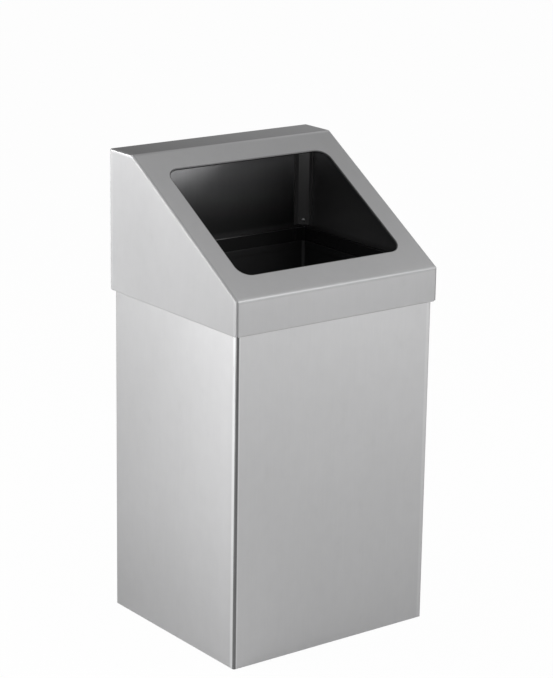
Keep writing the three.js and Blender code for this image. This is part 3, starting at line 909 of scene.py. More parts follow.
@dataclass(frozen=True)
class BendMark:
    """How a bend between two flat faces shows: a painted dark reflection and a duller roughness along it, a
    painted highlight beside it.
    """

    first: Flank
    second: Flank
    # strength of the painted dark reflection along the bend; a powder coat paints a highlight there instead
    painted_bend_shading: float = 0.0
    dull: float = 0.0

    def masks(self, shading: Shading, radius: float) -> tuple[Value, Value, Value]:
        """How strong the painted dark reflection and the painted highlight are here, and how dull the sheet
        is.

        Args:
            shading: The material's tree.
            radius: Outside radius of the bend.

        Returns:
            The three shares.
        """
        spans = [flank.plane.distance(shading) for flank in (self.first, self.second)]
        bend = 1 - (spans[0] + spans[1]).fade(radius * BEND_FADE[0], radius * BEND_FADE[1])
        painted_highlight = self.first.mask(shading, radius, spans[1]).greater(
            self.second.mask(shading, radius, spans[0]))
        return bend * self.painted_bend_shading, painted_highlight, bend * self.dull


@dataclass(frozen=True)
class PaintedLightDrift:
    """A slow change of tone over one flat face: painted shade and light."""

    plane: Plane
    level: float  # tone at the origin, as a share of the plain colour
    rate: Direction = (0.0, 0.0, 0.0)  # how much the share grows per metre along each axis

    def painted_excess(self, shading: Shading, radius: float) -> Value:
        """How much lighter than the plain colour the painted light makes the sheet here, on this face alone;
        below 0, how much darker the painted shade makes it.

        Args:
            shading: The material's tree.
            radius: Outside radius of the bends round the face.

        Returns:
            The share.
        """
        on_face = 1 - self.plane.distance(shading).fade(0.0, radius)
        return on_face * (shading.along(self.rate) + (self.level - 1.0))


# ---- Finishes ------------------------------------------------------------------------------


@dataclass(frozen=True)
class Finish:
    """A surface finish."""

    label: str
    colour: Colour = (0.5, 0.5, 0.5)
    roughness: float = 0.5

    @cache
    def material(self) -> bpy.types.Material:
        """The finish's material, which is made once."""
        return self.shade(Shading(self.label))

    def shade(self, shading: Shading) -> bpy.types.Material:
        """Builds the material."""
        raise NotImplementedError

    def toned(self, shading: Shading, tone: Value, low: float, high: float) -> bpy.types.NodeSocket:
        """The finish's colour, times a factor that a tone of 0 to 1 takes from low to high."""
        return shading.mixed(tone, scaled(self.colour, low), scaled(self.colour, high))


@dataclass(frozen=True)
class BrushedStainless(Finish):
    """Satin stainless sheet, brushed along z and up the slope, with smudges, painted dark reflections along
    its bends, painted highlights beside them and painted shade and light drifting over its faces.
    """

    colour: Colour = (0.56, 0.56, 0.565)
    roughness: float = 0.34
    bends: tuple[BendMark, ...] = ()
    painted_light_drifts: tuple[PaintedLightDrift, ...] = ()
    bend_radius: float = STAINLESS_STOCK.bend_radius
    grain_depth: float = 0.000012

    def shade(self, shading: Shading) -> bpy.types.Material:
        """Builds the material.

        Args:
            shading: The tree of the material.

        Returns:
            The material.
        """
        hair = shading.noise((2600, 2600, 11), roughness=0.6)
        streak = shading.noise((430, 430, 4.5), detail=3, roughness=0.6)
        cloud = shading.noise((9, 9, 7), detail=4, roughness=0.55)
        mottle = shading.noise((52, 52, 40))
        smudge = shading.noise((34, 34, 26), detail=4, roughness=0.65).fade(0.05, 0.3)
        scratch = shading.noise((900, 900, 26), detail=0).fade(0.27, 0.34)
        tone = 0.5 + hair * 0.6 + streak * 0.2 + cloud * 0.35 + mottle * 0.45
        tone = (tone - smudge * 0.25 + scratch * 0.25).clamped()
        colour = self.toned(shading, tone, 0.94, 1.06)
        roughness = self.roughness + hair * 0.07 + streak * 0.02 + cloud * 0.03 + smudge * 0.02
        roughness = roughness - scratch * 0.04
        # Painted dark reflections along the bends and painted highlights beside them, with a noise that
        # varies both.
        if self.bends:
            mark_mottle = shading.noise((60, 60, 9), detail=3).fade(-0.35, 0.15)
            masks = [mark.masks(shading, self.bend_radius) for mark in self.bends]
            painted_bend_shading, painted_highlight, dull = (reduce(Value.greater, column) for column in zip(*masks))
            colour = shading.mixed(
                painted_highlight * (0.8 + 0.2 * mark_mottle), colour, self.toned(shading, mark_mottle, 1.3, 1.36))
            colour = shading.mixed(painted_bend_shading, colour, self.toned(shading, mark_mottle, 0.12, 0.2))
            roughness = roughness - painted_highlight * 0.04 + dull
        # Painted shade and light drifting over each face.
        for painted_light_drift in self.painted_light_drifts:
            colour = shading.multiplied(colour, 1 + painted_light_drift.painted_excess(shading, self.bend_radius))
        return shading.surface(colour, roughness, hair + streak * 0.5 - scratch * 0.8, self.grain_depth)


@dataclass(frozen=True)
class MillStainless(Finish):
    """Inside face of the stainless sheet, as rolled: dull, with faint roll marks and a dry film; its dark
    colour and its height bands are painted shade and light.
    """

    # Darker than the outside's satin colour: painted shade on the inside faces.
    colour: Colour = (0.23, 0.23, 0.235)
    roughness: float = 0.17
    film: float = 0.34  # how much of the metal a dry film hides
    painted_shade_span: tuple[float, float] | None = None  # heights between which the painted shade and light go from their first tone to their second
    painted_shade_tones: tuple[float, float] = (0.34, 1.8)  # painted tone at the first height, and at the second
    scuffed_below: float = 0.0  # height up to which another piece rubs on it
    scuff_fade: tuple[float, float] = (-0.006, 0.002)  # where that ends, from that height

    def shade(self, shading: Shading) -> bpy.types.Material:
        """Builds the material.

        Args:
            shading: The tree of the material.

        Returns:
            The material.
        """
        roll = shading.noise((300, 300, 5))
        cloud = shading.noise(11, detail=4, roughness=0.6)
        speck = shading.noise(800, detail=1)
        height = shading.along(Z_AXIS)
        tone = (0.5 + roll * 0.5 + cloud * 0.6 + speck * 0.3).clamped()
        colour = self.toned(shading, tone, 0.88, 1.1)
        # Painted shade and light that change with height, from the first tone low down to the second higher
        # up.
        if self.painted_shade_span:
            painted_light_share = (height + cloud * 0.02).fade(*self.painted_shade_span)
            thick, painted_light = self.painted_shade_tones
            colour = shading.multiplied(colour, thick + painted_light_share * (painted_light - thick))
        if self.scuffed_below:
            start, end = (self.scuffed_below + shift for shift in self.scuff_fade)
            scuff = (1 - height.fade(start, end)) * (0.8 + cloud * 0.6)
            colour = shading.mixed(scuff.clamped(), colour, self.toned(shading, tone, 0.62, 0.78))
        return shading.surface(
            colour, self.roughness + roll * 0.04 + cloud * 0.1, speck + roll * 0.2, 0.000004,
            Metallic=(1 - self.film) + cloud * 0.06)


@dataclass(frozen=True)
class GroundWeld(Finish):
    """Weld that was ground flush and blended in: crosswise sanding marks and slight pits."""

    colour: Colour = (0.52, 0.52, 0.525)
    roughness: float = 0.36

    def shade(self, shading: Shading) -> bpy.types.Material:
        """Builds the material.

        Args:
            shading: The tree of the material.

        Returns:
            The material.
        """
        sanding = shading.noise((20, 1500, 1500))
        pits = shading.cells(900).fade(0.25, 0.05)
        tone = (0.55 + sanding * 0.7 - pits * 0.4).clamped()
        return shading.surface(
            self.toned(shading, tone, 0.85, 1.12), self.roughness + sanding * 0.12 + pits * 0.15,
            sanding - pits, 0.00002)


@dataclass(frozen=True)
class PowderCoat(Finish):
    """Black powder coat with orange peel, worn to bare steel along its edges, with painted highlights along
    its bends and a little dust.
    """

    colour: Colour = (0.032, 0.032, 0.033)
    roughness: float = 0.46
    planes: tuple[Plane, ...] = ()
    bends: tuple[BendMark, ...] = ()
    bend_radius: float = LINER_STOCK.bend_radius
    wear_width: float = 0.0022
    bare: tuple[Colour, Colour] = ((0.22, 0.21, 0.2), (0.38, 0.37, 0.36))  # steel where it is worn
    dust: Colour = (0.075, 0.073, 0.07)
    gloss: float = 0.3

    def edge_wear(self, shading: Shading) -> Value:
        """How far the coat is worn off along the lines where two planes meet.

        Args:
            shading: The material's tree.

        Returns:
            The share.
        """
        near = [1 - plane.distance(shading).fade(0.0, self.wear_width) for plane in self.planes]
        flakes = shading.noise(420, detail=3, roughness=0.7).fade(0.1, 0.22)
        return (sum(near[1:], near[0]) - 1.0).clamped() * flakes * 0.6

    def shade(self, shading: Shading) -> bpy.types.Material:
        """Builds the material.

        Args:
            shading: The tree of the material.

        Returns:
            The material.
        """
        peel = shading.noise(650, detail=1)
        cloud = shading.noise(14, detail=4, roughness=0.6)
        dusty = shading.noise((90, 90, 60), detail=4, roughness=0.7).fade(0.1, 0.45)
        tone = (0.5 + cloud * 0.8 + peel * 0.3).clamped()
        colour = shading.mixed(
            dusty * 0.3, self.toned(shading, tone, 0.8, 1.25),
            shading.mixed(tone, scaled(self.dust, 0.8), self.dust))
        # Painted highlights along the bends, lighter than the coat.
        for mark in self.bends:
            painted_light = mark.masks(shading, self.bend_radius)[0] * (0.7 + cloud)
            colour = shading.mixed(painted_light.clamped(), colour, self.toned(shading, tone, 4.0, 5.2))
        wear = self.edge_wear(shading)
        colour = shading.mixed(wear, colour, shading.mixed(tone, *self.bare))
        return shading.surface(
            colour, self.roughness + cloud * 0.12 + dusty * 0.2, peel, 0.00005,
            Metallic=wear, Specular_IOR_Level=self.gloss)


@dataclass(frozen=True)
class ZincPlate(Finish):
    """Zinc plating: pale grey with a faint spangle and dull patches."""

    colour: Colour = (0.6, 0.61, 0.62)
    roughness: float = 0.34

    def shade(self, shading: Shading) -> bpy.types.Material:
        """Builds the material.

        Args:
            shading: The tree of the material.

        Returns:
            The material.
        """
        spangle = shading.cells(700)
        cloud = shading.noise(120, detail=4, roughness=0.6)
        tone = (0.4 + spangle * 0.3 + cloud * 0.7).clamped()
        return shading.surface(
            self.toned(shading, tone, 0.82, 1.08), self.roughness + cloud * 0.2 + spangle * 0.06,
            cloud, 0.00003)


@dataclass(frozen=True)
class MouldedRubber(Finish):
    """Matt black rubber with a fine moulded texture and dust in it."""

    colour: Colour = (0.028, 0.028, 0.03)
    roughness: float = 0.72
    dust: tuple[Colour, Colour] = ((0.07, 0.067, 0.062), (0.12, 0.115, 0.105))

    def shade(self, shading: Shading) -> bpy.types.Material:
        """Builds the material.

        Args:
            shading: The tree of the material.

        Returns:
            The material.
        """
        texture = shading.noise(1800, roughness=0.6)
        dust = shading.noise(170, detail=4, roughness=0.65).fade(0.05, 0.4)
        colour = shading.mixed(
            dust * 0.35, self.toned(shading, (0.5 + texture).clamped(), 0.7, 1.3),
            shading.mixed(dust, *self.dust))
        return shading.surface(
            colour, self.roughness + texture * 0.15 + dust * 0.1, texture, 0.00006, Metallic=0.0)


MILL = MillStainless("mill_stainless")
WELD = GroundWeld("ground_weld")
# Near-black stainless on the mouth's turned edge: painted shade over the edge's reflections.
LIP = BrushedStainless("satin_lip", (0.12, 0.12, 0.122), 0.45)
ZINC = ZincPlate("zinc_plate")
RIVET = ZincPlate("bright_zinc", (0.86, 0.87, 0.88), 0.28)
RUBBER = MouldedRubber("moulded_rubber")

# ---- Body ----------------------------------------------------------------------------------


@dataclass
class BodyShell:
    """Open-topped body: wrap, back panel, base pan and feet."""

    stock: SheetStock = STAINLESS_STOCK
    back_flange: float = 0.018
    pan_corner: float = 0.006
    painted_shade_top: float = 0.03  # rim to where the painted shade inside is darkest
    painted_shade_end: float = 0.14  # rim to where that painted shade has faded out
    weld_inset: float = 0.009  # weld marks to the back panel's side edge
    weld_end: float = 0.03  # weld marks to its upper and lower edge
    weld_rise: float = 0.003  # lowest weld marks to the pan's bend
    weld_pitch: float = 0.048
    weld_radius: float = 0.0028
    weld_crown: float = 0.7  # radius of a mark's top, as a share of its own
    weld_height: float = 0.00012
    weld_least: float = 0.85  # size of the smallest mark, as a share
    weld_seed: int = 3
    foot_taper: float = 0.002
    foot_groove: float = 0.0008
    foot_ribs: tuple[float, ...] = (0.3, 0.6)  # heights of the ribs, as shares
    screw_play: float = 0.001  # room round a foot screw's head
    screw_seat: float = 0.0029  # lower end of a foot screw to the rubber above its head

    def __post_init__(self) -> None:
        """Reads the body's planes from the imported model."""
        low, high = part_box("body_wrap")
        out = self.stock.hem_standout
        self.half, self.front, self.flange_face = high.x - out, low.y + out, high.y
        self.bottom, self.rim = low.z, high.z
        self.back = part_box("body_back_panel")[1].y - out
        self.rider = Rider("body")
        left, right = (Plane(X_AXIS, x) for x in (-self.half, self.half))
        front, back = (Plane(Y_AXIS, y) for y in (self.front, self.flange_face))
        # Painted dark reflection along the near front bend, painted highlights beside it and beside the
        # right front bend, faint painted shade along the back bends.
        bends = (
            BendMark(Flank(left, width=0.005, painted_highlight=0.85), Flank(front, width=0.0018, painted_highlight=0.45), 0.85),
            BendMark(Flank(right), Flank(front, width=0.004, painted_highlight=0.25)),
            *[BendMark(Flank(side), Flank(back), painted_bend_shading=0.2) for side in (left, right)],
        )
        # Painted shade and light: the sides lighter towards the front and the top, the front lighter to the
        # left and upwards, the rim's top painted near black as shade under the hood.
        painted_light_drifts = (
            *[PaintedLightDrift(side, 0.93, (0.0, -0.5, 0.19)) for side in (left, right)],
            PaintedLightDrift(front, 0.976, (-0.064, 0.0, 0.069)),
            PaintedLightDrift(Plane(Z_AXIS, self.rim), 0.07),
        )
        satin = BrushedStainless("satin_body", (0.58, 0.58, 0.585), bends=bends, painted_light_drifts=painted_light_drifts)
        # Inside the body: painted shade near the rim, under the hood, fading to the plain tone lower down.
        painted_shade_span = (self.rim - self.painted_shade_top, self.rim - self.painted_shade_end)
        self.finishes = [satin, replace(MILL, label="mill_body", painted_shade_span=painted_shade_span, painted_shade_tones=(0.3, 1.0))]

    def wrap(self) -> bpy.types.Object:
        """Front and side walls from one sheet, with rim hems turned outwards."""
        half, front, face = self.half, self.front, self.flange_face
        radius, thick = self.stock.bend_radius, self.stock.thickness
        stop = radius + self.stock.hem_notch
        right = [
            (half - self.back_flange, face, 0), (half, face, radius), (half, face - stop, 0),
            (half, front + stop, 0), (half, front, radius), (half - stop, front, 0),
        ]
        plan = rounded_path([*right, *[(-x, y, r) for x, y, r in reversed(right)]])

        def place(point: PathPoint, spot: Vector) -> Vector:
            """Place of a point of the section at a point of the plan."""
            return Vector((*(point.place + point.normal * (spot.x - thick)), self.rim + spot.y))

        def hemmed(middle: Vector) -> bool:
            """Whether the wall has a hem at a place of its plan."""
            along_front = abs(middle.x) < half - stop and middle.y < front + STRAIGHT
            return along_front or (
                abs(middle.x) > half - STRAIGHT and front + stop < middle.y < face - stop)

        builder = MeshBuilder().sheet(
            *swept(self.stock.hemmed(self.rim - self.bottom), plan, place),
            hemmed=[hemmed((a.place + b.place) / 2) for a, b in zip(plan, plan[1:])], hem_out=True)
        return settled("body_wrap_sheet", builder, self.finishes)

    def back_panel(self) -> bpy.types.Object:
        """Back panel with its own rim hem."""
        reach = self.half - self.stock.bend_radius
        inner = self.back - self.stock.thickness
        builder = MeshBuilder().sheet(*swept(
            self.stock.hemmed(self.rim - self.bottom), (-reach, reach),
            lambda x, spot: Vector((x, inner + spot.x, self.rim + spot.y))), hem_out=True)
        return settled("body_back_sheet", builder, self.finishes)

    def base_pan(self) -> bpy.types.Object:
        """Base pan that closes the body below."""
        builder = MeshBuilder().pan(
            "base_pan", self.pan_corner, self.stock.bend_radius, self.stock.thickness)
        return settled("base_pan_sheet", builder, [MILL])

    def weld_marks(self) -> bpy.types.Object:
        """Rows of spot-weld marks where the back panel lies on the flanges and the pan."""
        side = self.half - self.weld_inset - self.stock.bend_radius
        foot = self.bottom + self.stock.bend_radius + self.weld_rise
        ends = (self.bottom + self.weld_end, self.rim - self.weld_end)
        points = [(x, self.back, z) for x in (-side, side) for z in ends]
        points += [(x, self.back, foot) for x in (-side, side)]
        carrier = carrier_mesh(points, [(0, 1), (2, 3), (4, 5)])
        return spot_weld_tree().run("body_spot_welds", carrier, WELD, {
            "Pitch": self.weld_pitch,
            "Mark radius": self.weld_radius,
            "Mark height": self.weld_height,
            "Crown": self.weld_radius * self.weld_crown,
            "Least size": self.weld_least,
            "Seed": self.weld_seed,
        })

    def feet(self) -> None:
        """Four rubber feet with ribbed sides and a counterbore."""
        low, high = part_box("foot_front_left")
        radius, top, groove = (high.x - low.x) / 2, high.z, self.foot_groove
        tread = radius - self.foot_taper
        screw_low, screw_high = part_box("foot_screw_front_left")
        sink = (screw_high.x - screw_low.x) / 2 + self.screw_play
        sides = [(tread - groove, 0), (tread, groove)]
        for share in self.foot_ribs:
            height = top * share
            there = tread + (radius - tread) * share
            sides += [(there, height - groove), (there - groove, height), (there, height + groove)]
        builder = MeshBuilder().turned([
            (sink, 0), *sides, (radius, top - groove), (radius - groove, top), (sink, top),
            (sink, screw_low.z + self.screw_seat), (sink, 0),
        ])
        spots = {}
        for place in ("front_left", "front_right", "rear_left", "rear_right"):
            centre = sum(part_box(f"foot_{place}"), Vector((0, 0, 0))) / 2
            spots[f"foot_{place}"] = ((centre.x, centre.y, 0), (0.0, 0.0, 0.0))
        pattern = settled("foot_pattern", builder, [RUBBER], edge=0)
        self.rider.seat_copies("feet", pattern, RUBBER, spots, "black_rubber")

    def dress_screws(self) -> None:
        """Gives the foot screws their plating."""
        for name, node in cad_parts.items():
            if name.startswith("foot_screw"):
                node.data.materials.clear()
                node.data.materials.append(ZINC.material())

    def build(self) -> None:
        """Builds the whole body."""
        self.rider.seat(self.wrap(), "satin_stainless", "body_wrap")
        self.rider.seat(self.back_panel(), "satin_stainless", "body_back_panel")
        self.rider.seat(self.base_pan(), "satin_stainless", "base_pan")
        self.rider.seat(self.weld_marks(), "satin_stainless")
        self.feet()
        self.dress_screws()


# ---- Liner ---------------------------------------------------------------------------------


@dataclass
class Liner:
    """Lift-out liner with its lap seam, base, clips and two drop handles."""

    stock: SheetStock = LINER_STOCK
    lap: float = 0.024
    base_bend: float = 0.0022
    clip_sheet: float = 0.001
    clip_foot: float = 0.010
    clip_bend: float = 0.0018
    clearance: float = 0.0003
    handle_stub: float = 0.014
    elbow: float = 0.005
    grip_corner: float = 0.012
    wire_facets: int = 20
    wire_bend_facets: int = 10

    def __post_init__(self) -> None:
        """Reads the liner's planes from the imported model."""
        low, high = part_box("liner_shell")
        self.half, self.front, self.back = high.x, low.y, high.y
        self.bottom, self.rim = low.z, high.z
        self.rider = Rider("liner")
        faces = [
            [Plane(axis, end[i]) for i, axis in enumerate((X_AXIS, Y_AXIS, Z_AXIS))] for end in (low, high)]
        # Every bend of the liner gets a painted highlight in the coat.
        bends = tuple(
            BendMark(Flank(x[0]), Flank(y[1]), painted_bend_shading=1.0) for x in faces for y in faces)
        self.coat = PowderCoat("black_powder_coat", planes=(*faces[0], *faces[1]), bends=bends)

    def shell(self) -> bpy.types.Object:
        """Four walls from one sheet, lapped at the back, with rim hems turned inwards."""
        half, front, back, lap = self.half, self.front, self.back, self.lap
        inner = back - self.stock.thickness - self.stock.seam_gap
        bend, notch = self.stock.bend_radius, self.stock.hem_notch
        stop = bend + notch
        plan = rounded_path([
            (-lap / 2, inner, 0), (half - stop, inner, 0), (half, inner, bend), (half, inner - stop, 0),
            (half, front + stop, 0), (half, front, bend), (half - stop, front, 0),
            (stop - half, front, 0), (-half, front, bend), (-half, front + stop, 0),
            (-half, inner - stop, 0), (-half, back, bend), (stop - half, back, 0),
            (-lap / 2 - notch, back, 0), (lap / 2, back, 0),
        ])

        def place(point: PathPoint, spot: Vector) -> Vector:
            """Place of a point of the section at a point of the plan."""
            return Vector((*(point.place - point.normal * spot.x), self.rim + spot.y))

        def hemmed(middle: Vector) -> bool:
            """Whether the wall has a hem at a place of its plan."""
            level = abs(middle.x) < half - stop
            if middle.y > back - STRAIGHT:
                return level and middle.x < -lap / 2 - notch
            along_side = abs(middle.x) > half - STRAIGHT and front + stop < middle.y < inner - stop
            return along_side or level and (middle.y < front + STRAIGHT or middle.y > inner - STRAIGHT)

        builder = MeshBuilder().sheet(
            *swept(self.stock.hemmed(self.rim - self.bottom), plan, place),
            hemmed=[hemmed((a.place + b.place) / 2) for a, b in zip(plan, plan[1:])])
        return settled("liner_walls", builder, [self.coat])

    def base(self) -> bpy.types.Object:
        """Base of the liner, raised inside its walls, with its flanges turned up."""
        builder = MeshBuilder().pan(
            "liner_base", self.stock.bend_radius, self.base_bend, self.stock.thickness, upside_down=True)
        return settled("liner_floor", builder, [self.coat])

    @staticmethod
    def wire(side: str) -> tuple[float, float, Vector, Vector]:
        """Where a handle's wire lies across, its radius, and the low and high end of its box."""
        low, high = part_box(f"liner_handle_{side}")
        return (low.x + high.x) / 2, (high.x - low.x) / 2, low, high

    def handle(self, side: str) -> None:
        """Bends one drop handle from wire and seats it.

        Args:
            side: Name of its side.
        """
        x, radius, low, high = self.wire(side)
        pivot, grip = high.z - radius, low.z + radius
        arm = high.y - self.handle_stub
        corners = [(high.y, pivot), (arm, pivot), (arm, grip)]
        points = [(x, -y, z) for y, z in corners] + [(x, y, z) for y, z in reversed(corners)]
        lines = [(k, k + 1) for k in range(len(points) - 1)]
        bends = [0.0, self.elbow, self.grip_corner, self.grip_corner, self.elbow, 0.0]
        carrier = carrier_mesh(points, lines, bend=bends)
        piece = wire_tree().run(f"drop_handle_{side}", carrier, ZINC, {
            "Wire radius": radius,
            "Faces round": self.wire_facets,
            "Faces per bend": self.wire_bend_facets,
        })
        for face in piece.data.polygons:
            face.use_smooth = True
        piece.data.set_sharp_from_angle(angle=SHARP_ANGLE)
        Rider(f"handle_{side}").seat(piece, "zinc_plated", f"liner_handle_{side}")

    def clips(self) -> None:
        """Four saddle clips over the ends of the handles."""
        low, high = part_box("liner_clip_right_rear")
        x, radius, _, _ = self.wire("right")
        foot, half = high.x - x, (high.y - low.y) / 2
        room, bend = radius + self.clearance, self.clip_bend
        reach = room + self.clip_sheet + self.clip_foot
        section = folded_section([
            (foot, reach, 0), (foot, room, bend), (-room, room, bend),
            (-room, -room, bend), (foot, -room, bend), (foot, -reach, 0),
        ], self.clip_sheet)
        builder = MeshBuilder().sheet(*swept(
            section, (-half, half), lambda y, spot: Vector((spot.x, y, spot.y))))
        spots = {}
        for side, turn in (("left", math.pi), ("right", 0.0)):
            x, radius, _, top = self.wire(side)
            for end in ("front", "rear"):
                node = f"liner_clip_{side}_{end}"
                y = sum(corner.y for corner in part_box(node)) / 2
                spots[node] = ((x, y, top.z - radius), (0.0, 0.0, turn))
        pattern = settled("clip_pattern", builder, [ZINC])
        self.rider.seat_copies("saddle_clips", pattern, ZINC, spots, "zinc_plated")

    def build(self) -> None:
        """Builds the liner with its handles."""
        self.rider.seat(self.shell(), "black_coated_steel", "liner_shell")
        self.rider.seat(self.base(), "black_coated_steel", "liner_base")
        self.clips()
        for _, side in SIDES:
            self.handle(side)


# ---- Hood ----------------------------------------------------------------------------------


@dataclass
class Hood:
    """Lift-off hood: face sheet with the mouth, side panels, seams, posts, pads and rivets."""

    stock: SheetStock = STAINLESS_STOCK
    skirt: float = 0.0505  # front skirt, lower edge to fold
    top_depth: float = 0.0585  # flat strip along the top
    lip_straight: float = 0.0006
    mouth_side: float = 0.0358  # mouth to the side of the hood
    mouth_top: float = 0.039  # mouth to the crease, along the slope
    mouth_front: float = 0.0446  # mouth to the front fold, along the slope
    mouth_radius: float = 0.020
    mouth_depth: float = 0.003
    mouth_bend: float = 0.0016  # outside radius of the mouth's turned-in edge
    seam_sink: float = 0.00003  # ground seam below the sheet's face
    post_leg: float = 0.012
    post_flange: float = 0.008
    post_bend: float = 0.002
    pad_trim: float = 0.003
    pad_edge: float = 0.0006
    scuff: float = 0.0075  # top of the inside's rubbed zone, above the body's rim
    painted_shade_start: float = 0.012  # where the inside's painted shade is darkest, above the body's rim
    painted_shade_end: float = 0.115  # and where it has given way to painted light
    rivet_head: float = 0.003
    rivet_crown: float = 0.0015
    rivet_rim: float = 0.001
    rivet_facets: int = 10  # from the head's edge to its middle

    def __post_init__(self) -> None:
        """Reads the hood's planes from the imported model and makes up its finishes."""
        low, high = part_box("hood_face_sheet")
        self.front, self.back = low.y, high.y
        self.edge, self.top = low.z, high.z
        self.reach = high.x
        self.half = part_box("hood_side_right")[1].x
        self.fold = self.edge + self.skirt
        self.crease = self.back - self.top_depth
        rise, run = self.top - self.fold, self.crease - self.front
        self.slope = math.atan2(rise, run)
        self.slope_length = math.hypot(rise, run)
        self.uphill = Vector((0, math.cos(self.slope), math.sin(self.slope)))
        self.outward = Vector((0, -math.sin(self.slope), math.cos(self.slope)))
        self.rider = Rider("hood")
        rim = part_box("body_wrap")[1].z
        # Inside the hood: painted shade low down, painted light higher up.
        inside = replace(
            MILL, label="mill_hood", scuffed_below=rim + self.scuff,
            painted_shade_span=(rim + self.painted_shade_start, rim + self.painted_shade_end))
        self.face_finishes = [self.satin(), inside, LIP]
        # The side panels' inside is painted lighter low down and darker higher up.
        self.side_finishes = [self.satin(), replace(inside, label="mill_hood_side", painted_shade_tones=(1.2, 0.75))]
        # The posts: a lighter copy of the inside's colour as painted light, painted darker towards the top.
        self.post_finish = replace(
            inside, label="mill_post", colour=(0.42, 0.42, 0.425), roughness=0.3,
            painted_shade_tones=(0.8, 0.6), scuffed_below=0.0)

    def satin(self) -> BrushedStainless:
        """The outside's finish, with painted dark reflections and highlights at the bends, painted shade and
        light drifting over the faces, and a base colour darker than the body's as painted shade.
        """
        sides = [Plane(X_AXIS, x) for x in (-self.half, self.half)]
        front, back = (Plane(Y_AXIS, y) for y in (self.front, self.back))
        slope = Plane(tuple(self.outward), self.outward.dot(Vector((0, self.front, self.fold))))
        top = Plane(Z_AXIS, self.top)
        # Painted dark reflections along the upright and slope bends, painted highlights beside the uprights
        # and along the sides' top edges; the front fold is only duller.
        bends = [BendMark(Flank(slope), Flank(front), dull=0.25)]
        for side in sides:
            upright = Flank(side, width=0.004, painted_highlight=0.2)
            bends += [
                BendMark(upright, Flank(front), painted_bend_shading=0.16, dull=0.35),
                BendMark(upright, Flank(back), painted_bend_shading=0.16, dull=0.35),
                BendMark(Flank(side), Flank(slope), painted_bend_shading=0.12, dull=0.35),
                BendMark(Flank(side, width=0.0012, painted_highlight=1.0), Flank(top)),
            ]
        # Painted shade and light: the sides lighter towards the back, the front skirt darker and lighter
        # upwards and to the left, the slope lighter to the left and the front, the top lighter to the right
        # and the back.
        painted_light_drifts = (
            *[PaintedLightDrift(side, 1.01, (0.0, 0.67, -0.09)) for side in sides],
            PaintedLightDrift(front, 0.827, (-0.21, 0.0, 0.233)),
            PaintedLightDrift(slope, 0.99, (-0.546, -0.1, 0.0)),
            PaintedLightDrift(top, 1.0, (1.7, 0.8, 0.0)),
        )
        # Base colour darker than the body's: painted shade on the hood.
        return BrushedStainless("satin_hood", (0.5, 0.5, 0.505), bends=tuple(bends), painted_light_drifts=painted_light_drifts)

    def profile(self, inset: float, edge: float) -> list[Corner]:
        """Corners of the hood's outline in (y, z), from the front skirt to the back.

        Args:
            inset: How far the outline lies inside the outer faces.
            edge: Height of its lower ends.

        Returns:
            Corners with their bend radii.
        """
        drop = inset / math.cos(self.slope)
        radius = self.stock.bend_radius - inset
        return [
            (self.front + inset, edge, 0),
            (self.front + inset, self.fold - drop + inset * math.tan(self.slope), radius),
            (self.crease + (drop - inset) / math.tan(self.slope), self.top - inset, radius),
            (self.back - inset, self.top - inset, radius),
            (self.back - inset, edge, 0),
        ]

    def on_slope(self, across: float, along: float, depth: float = 0.0) -> Vector:
        """A point by its place in the slope's plane and its depth below the outer face."""
        origin = Vector((0, self.front, self.fold))
        return origin + Vector((across, 0, 0)) + self.uphill * along - self.outward * depth

    def face_sheet(self) -> bpy.types.Object:
        """Front skirt, slope, top and back from one sheet, with the mouth's edge turned in."""
        stock = self.stock
        turn, leaf, radius = 2 * stock.hem_radius, stock.hem_length, stock.hem_radius
        bend = self.mouth_bend
        corner = self.mouth_radius + bend
        wide = self.half - self.mouth_side + bend
        low, high = self.mouth_front - bend, self.slope_length - self.mouth_top + bend
        on_line = [self.on_slope(0, along).yz for along in (low, low + corner, high - corner, high)]
        section = folded_section([
            (self.front + turn, self.edge + leaf, 0), (self.front + turn, self.edge, radius),
            (self.front, self.edge, radius), self.profile(0, self.edge)[1],
            *[(*point, 0) for point in on_line], *self.profile(0, self.edge)[2:4],
            (self.back, self.edge, radius), (self.back - turn, self.edge, radius),
            (self.back - turn, self.edge + leaf, 0),
        ], stock.thickness)
        first = min(range(len(section)), key=lambda k: (section[k][0] - on_line[0]).length)
        # The mouth takes up the three middle cells across, and three cells up from the first.
        stations = [-self.reach, -wide, corner - wide, wide - corner, wide, self.reach]
        builder = MeshBuilder().sheet(
            *swept(section, stations, lambda x, spot: Vector((x, *spot))),
            lambda i, j: 1 <= i <= 3 and first <= j < first + 3)
        self.mouth(builder, wide, low, high, corner)
        return settled("hood_face", builder, self.face_finishes)

    def mouth(
        self, builder: MeshBuilder, wide: float, low: float, high: float, corner: float
    ) -> None:
        """Adds the mouth's rounded corners and its turned-in edge.

        Args:
            builder: Builder of the face sheet.
            wide: Half width where the edge begins to turn in.
            low: Lower end of it, along the slope.
            high: Upper end of it.
            corner: Radius of its corners.
        """
        bend, thick = self.mouth_bend, self.stock.thickness
        facets = 2 * BEND_FACETS

        def loop(shrink: float, depth: float) -> list[Vector]:
            """The mouth's outline, drawn in by some length, at a depth."""
            outline = rounded_rectangle(
                (shrink - wide, low + shrink), (wide - shrink, high - shrink), corner - shrink, facets)
            return [self.on_slope(x, along, depth) for x, along in outline]

